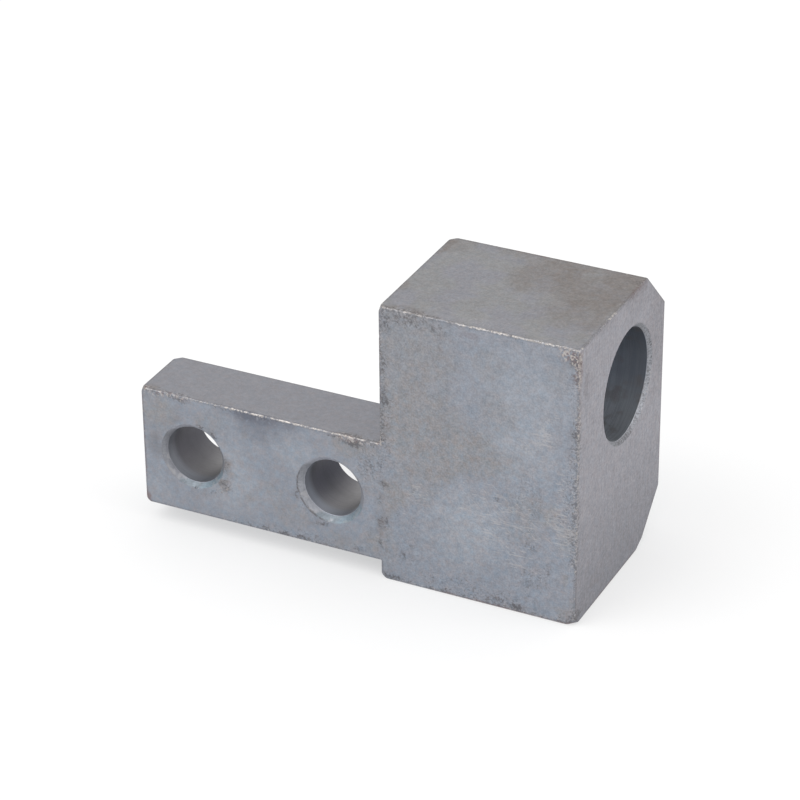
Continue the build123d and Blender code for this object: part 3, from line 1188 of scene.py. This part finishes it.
def inner_corner_group(sizes):
    """The corner where the arm's top, back and foot run into the block's shoulder; painted shade there,
    which also stands for grime collecting in it.
    """
    sheet, ins, outs = new_group("shaded_inner_corner", ON_PLACE, MASK)
    places = {name: value / MM for name, value in body_places(sizes).items()}
    across, deep, up = sheet.parts(ins["Position"])
    mid_height = (places["arm_top"] + places["arm_low"]) / 2
    half_height = (places["arm_top"] - places["arm_low"]) / 2
    past_height = sheet.less(sheet.size_of(sheet.less(up, mid_height)), half_height)
    past_arm = sheet.math("MAXIMUM", past_height, sheet.less(deep, places["arm_back"]))
    from_shoulder = sheet.size_of(sheet.less(across, places["shoulder"]))
    gap = sheet.math("MAXIMUM", from_shoulder, sheet.size_of(past_arm))
    gap = sheet.plus(gap, sheet.swing(ins["Position"], 1.4, 0.3))
    behind_front = sheet.ease(deep, FRONT_Y + 0.2, FRONT_Y + 0.7)
    sheet.feed(outs["Mask"], sheet.times(sheet.ease(gap, 0.75, 0.1), behind_front))
    return sheet.tree


# Metal: the finish. Its plain numbers are the millimetres or shares of a reading that a mark fades in
# over, and the share of the surface that it covers.

RELIEF = 0.02 * MM
RIM_SPARE = 0.02 * MM
COOLER = (0.905, 1.0, 1.060)
WARMER = (1.095, 1.0, 0.940)

ALONG_BRACKET = (0, math.radians(2), 0)
ASLANT = (0, math.radians(-38), 0)
UNTURNED = (0, 0, 0)


def metal_groups(sizes):
    """The shader groups that the bracket's two materials are built from, by name."""
    return {
        "soft_spot": soft_spot_group(),
        "ragged": ragged_group(),
        "grain": grain_group(),
        "specks": specks_group(),
        "strokes": strokes_group(),
        "bitten": bitten_group(),
        "bore_place": bore_place_group(sizes),
        "bolt_hole_place": bolt_hole_place_group(sizes),
        "edge_gap": edge_gap_group(sizes),
        "shaded_inner_corner": inner_corner_group(sizes),
    }


class MetalSheet(NodeSheet):
    """A metal's own nodes, with the readings that all parts of its finish share."""

    def __init__(self, name, groups, finish):
        self.material = bpy.data.materials.new(name)
        self.material.use_nodes = True
        super().__init__(self.material.node_tree)
        self.shader = self.tree.nodes["Principled BSDF"]
        self.shader.inputs["Metallic"].default_value = 1.0
        self.groups, self.finish = groups, finish
        coordinates = self.tree.nodes.new("ShaderNodeTexCoord")
        self.place = self.vector("MULTIPLY", coordinates.outputs["Object"], (1 / MM, 1 / MM, 1 / MM))
        self.shifted = self.vector("ADD", self.place, OTHER_PLACE)
        self.across, self.deep, self.up = self.parts(self.place)
        self.facing = self.parts(coordinates.outputs["Normal"])

    def draw(self, group, **inputs):
        """One of the shared groups, by name."""
        return self.use(self.groups[group], **inputs)

    def stains(self, name, spots, position, softness=0.6, depth=1.5):
        """A mask of all soft spots of one kind."""
        group = stain_group(name, spots, self.groups["soft_spot"], softness, depth)
        return self.use(group, Position=position)

    def bitten(self):
        """Where nicks have bitten into the metal."""
        depth = self.put("Attribute", {}, attribute_name=WEAR_DEPTH).outputs["Fac"]
        return self.draw("bitten", Position=self.place, Depth=depth)

    def satin(self, brightness):
        """A roughness, duller where the metal is darker."""
        return self.line(brightness, 0.8, 1.2, 0.58, 0.48)

    def relieve(self, height):
        """Turns a height into fine relief on the surface."""
        bump = self.put("Bump", {"Height": height, "Strength": 1.0, "Distance": RELIEF})
        self.tree.links.new(bump.outputs[0], self.shader.inputs["Normal"])

    def finish_with(self, colour, roughness):
        """Leads the finished colour and roughness to the shader."""
        self.tree.links.new(colour, self.shader.inputs["Base Color"])
        self.tree.links.new(roughness, self.shader.inputs["Roughness"])


class FaceSheet(MetalSheet):
    """The outer faces' nodes, with the masks and noises that several of their layers share."""

    def __init__(self, groups, finish):
        super().__init__("worn_metal", groups, finish)
        self.loose = self.draw("ragged", Position=self.place, Scale=0.45, Shift=3.2)
        wavy = self.draw("ragged", Position=self.place, Scale=0.9, Shift=0.9)
        self.torn = self.draw("ragged", Position=wavy, Scale=3.0, Shift=0.7)
        self.faces_up = self.ease(self.facing["Z"], 0.55, 0.85)
        self.faces_end = self.ease(self.facing["X"], 0.55, 0.85)
        self.faces_front = self.ease(self.facing["Y"], -0.55, -0.85)
        self.patchy = self.noise(self.place, 1.3, 2.0, 0.6)
        self.fine_break = self.noise(self.place, *FINE_BREAK)
        self.flecks = self.noise(self.shifted, *FLECKS)
        self.tarnish = self.stains("tarnish", TARNISH, self.loose)
        self.pitted = self.stains("pitted", PITTED, self.loose, softness=0.7)
        self.coarse = self.coarseness()

    def coarseness(self):
        """How coarse the mottling is by its face: most on the end face and the block's front."""
        coarse = self.plus(self.times(self.faces_end, 0.8), self.times(self.faces_front, 0.25))
        block_front = self.times(self.faces_front, self.ease(self.across, -14.5, -10.5))
        block_top = self.times(self.faces_up, self.ease(self.up, 0.0, 4.0))
        for mask, more in ((block_front, 0.4), (block_top, 0.35), (self.faces_up, 0.14)):
            coarse = self.plus(coarse, self.times(mask, more))
        return coarse

    def mottling(self, coarse):
        """Mottled brightness around 1."""
        fine = self.line(coarse, 0.0, 1.0, 0.16, 0.52)
        middle = self.line(coarse, 0.0, 1.0, 0.17, 0.32)
        return self.draw("grain", Position=self.place, Fine=fine, Middle=middle, Broad=0.14)


def ground_colour(metal):
    """Clean metal, painted sheen on the mounting face and broad tarnish, with colours for each face,
    mottled light and dark, warm and cool.
    """
    finish = metal.finish
    # Painted sheen: the lighter blue laid in soft spots on the mounting face.
    painted_sheen = metal.stains("painted_sheen", SHEEN_SPOTS, metal.loose, softness=0.9)
    front = metal.mix(painted_sheen, finish.blue, finish.sheen_blue)
    patches = metal.line(metal.patchy, 0.3, 0.6, 0.5, 1.1)
    front = metal.lay(front, metal.math("MULTIPLY", metal.tarnish, patches, clamp=True), finish.brown)
    drift = metal.ease(metal.noise(metal.place, 0.28, 2.0), 0.4, 0.6)
    cool = metal.math("ADD", drift, metal.ease(metal.up, 0.0, -2.0), clamp=True)
    top = metal.mix(cool, finish.top, finish.top_cool)
    patches = metal.line(metal.patchy, 0.3, 0.7, 0.75, 1.15)
    top = metal.lay(top, metal.math("MULTIPLY", metal.tarnish, patches, clamp=True), finish.top_brown)
    end = metal.mix(metal.line(metal.up, -21.0, -8.0), finish.end_foot, finish.end)
    end = metal.lay(end, metal.tarnish, finish.end_brown)
    colour = metal.mix(metal.faces_end, metal.mix(metal.faces_up, front, top), end)

    stained = metal.strongest((metal.pitted, 0.3), (metal.tarnish, 0.2))
    brightness = metal.mottling(metal.plus(metal.coarse, stained))
    colour = metal.lighten(colour, brightness)
    warmth = metal.noise(metal.vector("ADD", metal.place, WARMTH_PLACE), 1.3, 3.0, 0.8)
    tint = metal.mix(metal.line(warmth, 0.25, 0.75), COOLER, WARMER)
    tinted = metal.times(metal.faces_front, metal.ease(metal.up, 6.0, -6.0, 0.65, 1.0))
    return metal.mix(metal.math("MAXIMUM", tinted, 0.45), colour, tint, "MULTIPLY"), brightness


def scuff_marks(metal):
    """Pits and brushing, both dark; and pale specks and scratches, along the bracket and aslant."""
    scuffs = metal.stains("scuffs", SCUFFS, metal.loose, softness=0.9)
    scratched = metal.stains("scratched", SCRATCHED, metal.loose, softness=0.7)
    pits = metal.draw("specks", Position=metal.place, Scale=3.9, Amount=metal.times(metal.pitted, 0.72))
    brushed = metal.draw(
        "strokes", Position=metal.place, Turn=UNTURNED, Fineness=(1.0, 5.0, 0.3), Amount=0.75
    )
    dark = metal.strongest((pits, 0.3), (metal.times(brushed, metal.faces_end), 0.13))
    amount = metal.plus(metal.times(scuffs, 0.8), metal.times(scratched, 0.35))
    amount = metal.plus(amount, metal.times(metal.pitted, 0.3))
    pale_specks = metal.draw("specks", Position=metal.shifted, Scale=4.6, Amount=amount)
    along = metal.draw(
        "strokes", Position=metal.place, Turn=ALONG_BRACKET, Fineness=(0.6, 1.0, 6.5),
        Amount=metal.times(scratched, 0.78),
    )
    aslant = metal.draw(
        "strokes", Position=metal.shifted, Turn=ASLANT, Fineness=(1.1, 1.0, 6.0),
        Amount=metal.times(scratched, 0.72),
    )
    scratches = metal.strongest((along, 1.0), (aslant, 0.8))
    scratches = metal.times(scratches, metal.line(metal.patchy, 0.35, 0.6, 0.35, 1.0))
    return dark, metal.strongest((scuffs, 0.12), (pale_specks, 0.4), (scratches, 0.5))


def grime_mark(metal):
    """Dirt that fills more of a fine noise the more there is of it."""
    grime = metal.stains("grime", GRIME, metal.torn, softness=0.8, depth=0.8)
    filled = metal.ease(metal.plus(metal.fine_break, metal.times(grime, 0.34)), 0.5, 0.86)
    return metal.times(filled, metal.ease(grime, 0.0, 0.4))


def nicks_and_flecks(metal, gap):
    """Fine dark nicks and pale flecks, thickest at the edges, and a dark band along the edges' crests,
    partly dirt and partly painted shade that tones down their highlight.
    """
    dark_edges = metal.stains("dark_edges", DARK_EDGES, metal.torn, softness=0.5)
    nearness = metal.line(gap, 0.0, 1.1, 0.3, 0.0)
    nicks = metal.plus(metal.noise(metal.place, 3.6, 2.0, 0.6), nearness)
    nicks = metal.plus(nicks, metal.times(dark_edges, 0.2))
    nicks = metal.times(metal.ease(nicks, 0.84, 1.0), metal.ease(gap, 1.2, 0.7))
    flecks = metal.plus(metal.plus(metal.flecks, nearness), metal.times(dark_edges, 0.12))
    flecks = metal.times(metal.ease(flecks, 0.84, 0.98), metal.ease(gap, 1.0, 0.5))
    # The band where the gap to an edge is under about a third of a millimetre is painted shade that tones
    # down the rounded edges' highlight, as well as grime.
    return metal.strongest((nicks, 0.5), (metal.ease(gap, 0.34, 0.18), 0.25)), metal.times(flecks, 0.4)


def rust_and_bare_metal(metal, gap):
    """Rust; and chips, bites and crests rubbed bright."""
    rust = metal.stains("rust", RUST, metal.torn, depth=0.8)
    chipped = metal.stains("chipped", CHIPPED, metal.torn, softness=0.7, depth=1.0)
    rusty_chips = metal.times(chipped, metal.ease(metal.fine_break, 0.52, 0.44))
    bare_chips = metal.times(chipped, metal.ease(metal.flecks, 0.5, 0.6))
    bright_edges = metal.stains("bright_edges", BRIGHT_EDGES, metal.place, softness=0.5)
    dashes = metal.noise(metal.vector("ADD", metal.place, DASHES_PLACE), 2.4, 3.0, 0.7)
    dashes = metal.ease(metal.plus(dashes, metal.times(bright_edges, 0.2)), 0.6, 0.74)
    dashes = metal.times(dashes, metal.line(metal.flecks, 0.3, 0.65, 0.45, 1.0))
    wavy_gap = metal.plus(gap, metal.swing(metal.place, 4.0, 0.2))
    crest = metal.times(dashes, metal.ease(wavy_gap, 0.22, 0.1))
    rusty = metal.strongest((rust, 0.6), (rusty_chips, 0.6))
    return rusty, metal.strongest((bare_chips, 0.8), (crest, 1.0), (metal.bitten(), 0.4))


def bore_rim_marks(metal):
    """Round the bore's mouth: its colour spilt on the end face, a dark border, and cream chips."""
    bore = metal.draw("bore_place", Position=metal.place)
    spilt = metal.times(metal.ease(bore["Past Rim"], 0.03, -0.05), metal.faces_end)
    rim_gap = metal.size_of(bore["Past Rim"])
    dirty = metal.math("MAXIMUM", metal.ease(metal.deep, 0.5, 2.5), bore["Low Right"])
    ticks = metal.times(metal.ease(metal.fine_break, 0.46, 0.56), dirty)
    border = metal.times(metal.times(metal.ease(rim_gap, 0.16, 0.05), metal.faces_end), ticks)
    cream = metal.times(metal.times(metal.ease(rim_gap, 0.36, 0.2), metal.faces_end), bore["Chips"])
    return spilt, border, cream


def bolt_rim_marks(metal):
    """Round the bolt holes' mouths: their colour spilt on the mounting face, and a dark border."""
    hole = metal.draw("bolt_hole_place", Position=metal.place)
    on_arm_front = metal.times(metal.faces_front, metal.ease(metal.across, -12.0, -12.5))
    spilt = metal.times(metal.ease(hole["Past Rim"], 0.02, -0.06), on_arm_front)
    return spilt, metal.times(hole["Border"], on_arm_front)


def worn_metal(groups, finish):
    """The outer faces: satin grey metal with tarnish, scuffs, grime and worn edges in their places, painted
    sheen on the mounting face, and painted shade in the inner corner and along the edges' crests.
    """
    metal = FaceSheet(groups, finish)
    colour, brightness = ground_colour(metal)
    bore_spilt, bore_border, cream = bore_rim_marks(metal)
    colour = metal.lay(colour, bore_spilt, finish.bore_mouth, 0.9)
    bolt_spilt, bolt_border = bolt_rim_marks(metal)
    colour = metal.lay(colour, bolt_spilt, finish.mouth, 0.88)
    smudges = metal.stains("smudges", SMUDGES, metal.torn, softness=1.0, depth=1.0)
    colour = metal.lay(colour, smudges, finish.smudge, 0.38)
    dark_scuffs, pale_scuffs = scuff_marks(metal)
    soiled = grime_mark(metal)
    gap = metal.draw("edge_gap", Position=metal.place)
    dark_edges, pale_edges = nicks_and_flecks(metal, gap)
    rusty, bare = rust_and_bare_metal(metal, gap)
    dark = metal.strongest(
        (dark_scuffs, 1.0), (soiled, 0.6), (dark_edges, 1.0), (bore_border, 0.5), (bolt_border, 1.0),
        # Painted shade, partly grime: the inner corner at the shoulder is darkened.
        (metal.draw("shaded_inner_corner", Position=metal.place), 0.5),
    )
    colour = metal.lay(colour, dark, finish.dirt_and_shade)
    pale = metal.strongest((pale_scuffs, 1.0), (pale_edges, 1.0), (cream, 0.4))
    colour = metal.lay(colour, pale, finish.pale)
    under_edge = metal.stains("under_edge_stain", UNDER_EDGE_STAIN, metal.torn, softness=0.9, depth=0.5)
    colour = metal.lay(colour, under_edge, finish.stain, 0.8)
    colour = metal.lay(colour, rusty, finish.rust)
    colour = metal.lay(colour, bare, finish.bare)
    roughness = metal.plus(metal.satin(brightness), metal.times(soiled, 0.12))
    metal.finish_with(colour, metal.less(roughness, metal.times(bare, 0.12)))
    dimples = metal.draw("specks", Position=metal.place, Scale=3.9, Amount=0.4)
    metal.relieve(metal.less(metal.mottling(metal.coarse), metal.times(dimples, 0.3)))
    return metal.material


def bore_colour(metal):
    """The bore: a mouth stained low down, and a wall with painted light, lighter low down and inwards,
    under tool marks and brown smears.
    """
    finish = metal.finish
    bore = metal.draw("bore_place", Position=metal.place)
    speckled = metal.draw("grain", Position=metal.shifted, Fine=1.1, Middle=0.5, Broad=0.1)
    mouth = metal.lighten(finish.bore_mouth, speckled)
    mouth = metal.lay(mouth, metal.ease(metal.up, -5.2, -6.0), finish.smudge, 0.28)
    mouth = metal.lay(mouth, bore["Chips"], finish.pale, 0.14)
    ticks = metal.draw("specks", Position=metal.place, Scale=4.6, Amount=0.7)
    mouth = metal.lay(mouth, ticks, finish.dirt_and_shade, 0.5)
    # Painted light: the wall is painted lighter low down and farther inwards.
    wall = metal.mix(metal.line(metal.up, -2.0, -5.5), finish.bore, finish.bore_lit_low)
    wall = metal.lighten(wall, metal.line(metal.across, 10.2, 7.0, 1.0, 1.42))
    marks = metal.draw(
        "strokes", Position=metal.place, Turn=UNTURNED, Fineness=(7.0, 0.25, 0.25), Amount=0.9
    )
    wall = metal.lay(wall, marks, finish.bore_mark, 0.24)
    smears = metal.ease(metal.noise(metal.place, 0.55, 3.0, 0.6), 0.5, 0.68)
    wall = metal.lay(wall, smears, finish.bore_smear, metal.line(metal.across, 2.0, 8.0, 0.14, 0.45))
    radius = BORE_RADIUS / MM
    return metal.mix(metal.ease(bore["Gap"], radius + 0.06, radius + 0.01), mouth, wall)


def bolt_mouth_colour(metal, hole, brightness):
    """The bolt holes' mouths: bluer low down, with painted light high up and painted shade lowest down,
    shaded to the left, and lit on the right.
    """
    finish = metal.finish
    near, beside, height = hole["Near"], hole["Beside"], hole["Height"]
    # Painted light: the chamfers high up are painted lighter.
    mouth = metal.mix(metal.ease(height, 0.6, 0.95), finish.mouth, finish.mouth_lit_above)
    mouth = metal.lighten(mouth, metal.line(near, 0.0, 1.0, 1.0, 1.14))
    foot = metal.less(height, metal.times(beside, 0.15))
    # Painted shade: the chamfers lowest down are painted darker.
    mouth = metal.lay(mouth, metal.ease(foot, -0.84, -0.97), finish.mouth_shaded_foot)
    low_right = metal.less(metal.times(beside, 0.8), metal.times(height, 0.6))
    low_right = metal.times(metal.ease(low_right, 0.75, 0.95), metal.ease(height, -0.2, -0.45))
    mouth = metal.lay(mouth, low_right, finish.mouth_low)
    right = metal.times(metal.ease(beside, 0.8, 1.0), metal.ease(near, 0.0, 1.0, 0.14, 0.26))
    mouth = metal.lighten(mouth, metal.times(brightness, metal.plus(right, 1.0)))
    radius = BOLT_HOLE_RADIUS / MM
    # Painted shade on the left of the mouths, in the shaded wall colour.
    shaded = metal.times(metal.ease(hole["Gap"], radius + 0.4, radius), metal.ease(beside, -0.35, -0.8))
    shaded = metal.times(shaded, metal.line(near, 0.0, 1.0, 0.5, 0.2))
    mouth = metal.lay(mouth, shaded, finish.wall_shaded_left)
    cream = metal.ease(metal.noise(metal.place, 1.1, 2.0), 0.5, 0.64)
    mouth = metal.lay(mouth, metal.times(cream, metal.ease(height, 0.1, -0.3)), finish.pale, 0.3)
    return metal.lay(mouth, hole["Border"], finish.dirt_and_shade)


def bolt_wall_colour(metal, hole):
    """The bolt holes' walls, with painted shade that darkens them inwards, high up and to the left, and
    painted light near the mouth and low on the right.
    """
    finish = metal.finish
    near, beside, height = hole["Near"], hole["Beside"], hole["Height"]
    low = metal.mix(metal.line(beside, -0.95, 0.1), finish.wall_shaded_left, finish.wall_lit_right)
    inner = metal.lay(low, metal.ease(height, 0.0, 0.5), finish.wall_shaded_upper)
    wall = metal.mix(metal.ease(metal.deep, FRONT_Y + 1.2, FRONT_Y + 2.4), finish.wall_lit_rim, inner)
    marks = metal.draw(
        "strokes", Position=metal.place, Turn=UNTURNED, Fineness=(0.25, 5.0, 0.25), Amount=0.8
    )
    wall = metal.lay(wall, marks, finish.dirt_and_shade, 0.07)
    # Painted light and shade: the near hole's wall is lightened, and all walls are darkened farther in,
    # most on the left.
    lighter = metal.times(near, metal.line(beside, -1.0, 0.3, 0.5, 0.16))
    darker = metal.plus(metal.line(beside, -0.4, 0.3, 0.26, 0.0), metal.times(near, 0.2))
    darker = metal.times(darker, metal.line(metal.deep, FRONT_Y + 2.0, FRONT_Y + 4.6))
    return metal.lighten(wall, metal.less(metal.plus(1.0, lighter), darker))


def bolt_hole_colour(metal, brightness):
    """The bolt holes' mouths and walls."""
    hole = metal.draw("bolt_hole_place", Position=metal.place)
    mouth, wall = bolt_mouth_colour(metal, hole, brightness), bolt_wall_colour(metal, hole)
    radius = BOLT_HOLE_RADIUS / MM
    return metal.mix(metal.ease(hole["Gap"], radius + 0.04, radius), mouth, wall)


def bored_metal(groups, finish):
    """The mouths and walls of the bore and of the two bolt holes."""
    metal = MetalSheet("bored_metal", groups, finish)
    brightness = metal.draw("grain", Position=metal.place, Fine=0.38, Middle=0.29, Broad=0.14)
    on_arm = metal.ease(metal.across, -11.5, -12.0)
    colour = metal.mix(on_arm, bore_colour(metal), bolt_hole_colour(metal, brightness))
    colour = metal.lay(colour, metal.bitten(), finish.bare, 0.3)
    metal.finish_with(colour, metal.satin(brightness))
    metal.relieve(metal.draw("grain", Position=metal.place, Fine=0.3, Middle=0.24, Broad=0.0))
    return metal.material


def give_metals(body, sizes, finish):
    """Gives the outer faces one metal and the faces inside the holes' rims the other."""
    groups = metal_groups(sizes)
    body.data.materials.append(worn_metal(groups, finish))
    body.data.materials.append(bored_metal(groups, finish))

    def in_a_hole(face):
        centre = middle(face)
        gap = math.hypot(centre.y, centre.z) - BORE_RADIUS - sizes.bore_mouth
        if gap < RIM_SPARE and abs(face.normal.x) < FACES_ALONG:
            return True
        for x, mouth in ((END_BOLT_X, sizes.end_hole_mouth), (NEAR_BOLT_X, sizes.near_hole_mouth)):
            gap = math.hypot(centre.x - x, centre.z - BOLTS_CENTRE.z) - BOLT_HOLE_RADIUS - mouth
            if gap < RIM_SPARE and abs(face.normal.y) < FACES_ALONG:
                return True
        return False

    select_only(body)
    bpy.ops.object.mode_set(mode="EDIT")
    pick(body, "FACE", in_a_hole)
    body.active_material_index = 1
    bpy.ops.object.material_slot_assign()
    bpy.ops.object.mode_set(mode="OBJECT")


# Stage

KEY_WAY = (-0.385, -0.49, 0.783)
FILL_WAY = (0.8, 0.1, 0.6)
FLOOR_SIZE = 6.0
FLOOR_ROUGHNESS = 0.9
FLOOR_WHITE = 0.5
SENSOR_WIDTH = 36
NEAREST_SEEN = 0.01


def white_to_camera(sheet, base_shader, share):
    """Mixes a share of plain white into what the camera, reflections and glass see of a shader."""
    path = sheet.put("LightPath", {}).outputs
    seen = sheet.math("MAXIMUM", path["Is Camera Ray"], path["Is Glossy Ray"])
    seen = sheet.math("MAXIMUM", seen, path["Is Transmission Ray"])
    white = sheet.put("Emission", {}).outputs[0]
    return sheet.put("MixShader", {0: sheet.times(seen, share), 1: base_shader, 2: white}).outputs[0]


def add_floor(stage):
    """A wide pale floor under the block's base."""
    bpy.ops.object.select_all(action="DESELECT")
    bpy.ops.mesh.primitive_plane_add(size=FLOOR_SIZE, location=(0, 0, LOW.z))
    floor = bpy.context.object
    floor.name = "floor"
    bpy.ops.object.transform_apply(location=True, rotation=True, scale=True)
    material = bpy.data.materials.new("pale_floor")
    material.use_nodes = True
    sheet = NodeSheet(material.node_tree)
    shader = sheet.tree.nodes["Principled BSDF"]
    sheet.feed(shader.inputs["Base Color"], stage.floor_colour)
    sheet.feed(shader.inputs["Roughness"], FLOOR_ROUGHNESS)
    sheet.feed(shader.inputs["Specular IOR Level"], 0.0)
    pale = white_to_camera(sheet, shader.outputs[0], FLOOR_WHITE)
    sheet.feed(sheet.tree.nodes["Material Output"].inputs["Surface"], pale)
    floor.data.materials.append(material)


def light_room(stage):
    """An even white room."""
    world = bpy.data.worlds.new("studio")
    bpy.context.scene.world = world
    world.use_nodes = True
    background = world.node_tree.nodes["Background"]
    background.inputs["Color"].default_value = (1, 1, 1, 1)
    background.inputs["Strength"].default_value = stage.room_strength


def add_soft_light(name, way, power, stage):
    """A square soft light out along one direction, facing the bracket."""
    way = Vector(way).normalized()
    bpy.ops.object.light_add(type="AREA", location=way * stage.light_distance)
    light = bpy.context.object
    light.name = name
    light.rotation_mode = "QUATERNION"
    light.rotation_quaternion = way.to_track_quat("Z", "Y")
    light.data.size = stage.light_size
    light.data.energy = power


def add_camera(stage):
    """The camera at the photograph's viewing angle."""
    bpy.ops.object.camera_add(location=stage.camera_place)
    camera = bpy.context.object
    camera.name = "camera"
    look = Vector((
        -math.sin(stage.azimuth) * math.cos(stage.elevation),
        math.cos(stage.azimuth) * math.cos(stage.elevation),
        -math.sin(stage.elevation),
    ))
    level = look.to_track_quat("-Z", "Y").to_matrix()
    camera.rotation_mode = "QUATERNION"
    camera.rotation_quaternion = (Matrix.Rotation(-stage.roll, 3, look) @ level).to_quaternion()
    camera.data.sensor_width = SENSOR_WIDTH
    camera.data.lens = stage.focal_length
    camera.data.clip_start = NEAREST_SEEN
    bpy.context.scene.camera = camera


# Operators and panel


class BRACKET_OT_body(Operator):
    """Model the bracket and give it its worn metal"""

    bl_idname = "bracket.body"
    bl_label = "Bracket"

    def execute(self, context):
        scene = context.scene
        body = model_bracket(scene.bracket_sizes, scene.bracket_wear)
        give_metals(body, scene.bracket_sizes, scene.bracket_finish)
        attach(body, "root")
        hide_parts(CAD_NODE)
        return {"FINISHED"}


class BRACKET_OT_stage(Operator):
    """Set the floor, the light and the camera"""

    bl_idname = "bracket.stage"
    bl_label = "Stage"

    def execute(self, context):
        stage = context.scene.bracket_stage
        add_floor(stage)
        light_room(stage)
        add_soft_light("key_light", KEY_WAY, stage.key_power, stage)
        add_soft_light("fill_light", FILL_WAY, stage.fill_power, stage)
        add_camera(stage)
        context.scene.view_settings.view_transform = "Standard"
        return {"FINISHED"}


class BRACKET_PT_panel(Panel):
    """Lists the bracket's operators and settings"""

    bl_label = "Bracket"
    bl_space_type = "VIEW_3D"
    bl_region_type = "UI"
    bl_category = "Bracket"

    def draw(self, context):
        layout = self.layout
        layout.operator("bracket.body")
        layout.operator("bracket.stage")
        for name in SETTINGS:
            group = getattr(context.scene, name)
            box = layout.box()
            for setting in group.__annotations__:
                box.prop(group, setting)


SETTINGS = {
    "bracket_sizes": BracketSizes,
    "bracket_wear": WearSizes,
    "bracket_finish": FinishColours,
    "bracket_stage": StageSettings,
}
CLASSES = (*SETTINGS.values(), BRACKET_OT_body, BRACKET_OT_stage, BRACKET_PT_panel)


def register():
    """Adds the settings to the scene, and the operators and the panel."""
    for each in CLASSES:
        bpy.utils.register_class(each)
    for name, group in SETTINGS.items():
        setattr(bpy.types.Scene, name, PointerProperty(type=group))


def unregister():
    """Takes them away again."""
    for name in SETTINGS:
        delattr(bpy.types.Scene, name)
    for each in reversed(CLASSES):
        bpy.utils.unregister_class(each)


def main():
    """Models the bracket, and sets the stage."""
    register()
    bpy.ops.bracket.body()
    bpy.ops.bracket.stage()


if __name__ == "__main__":
    main()
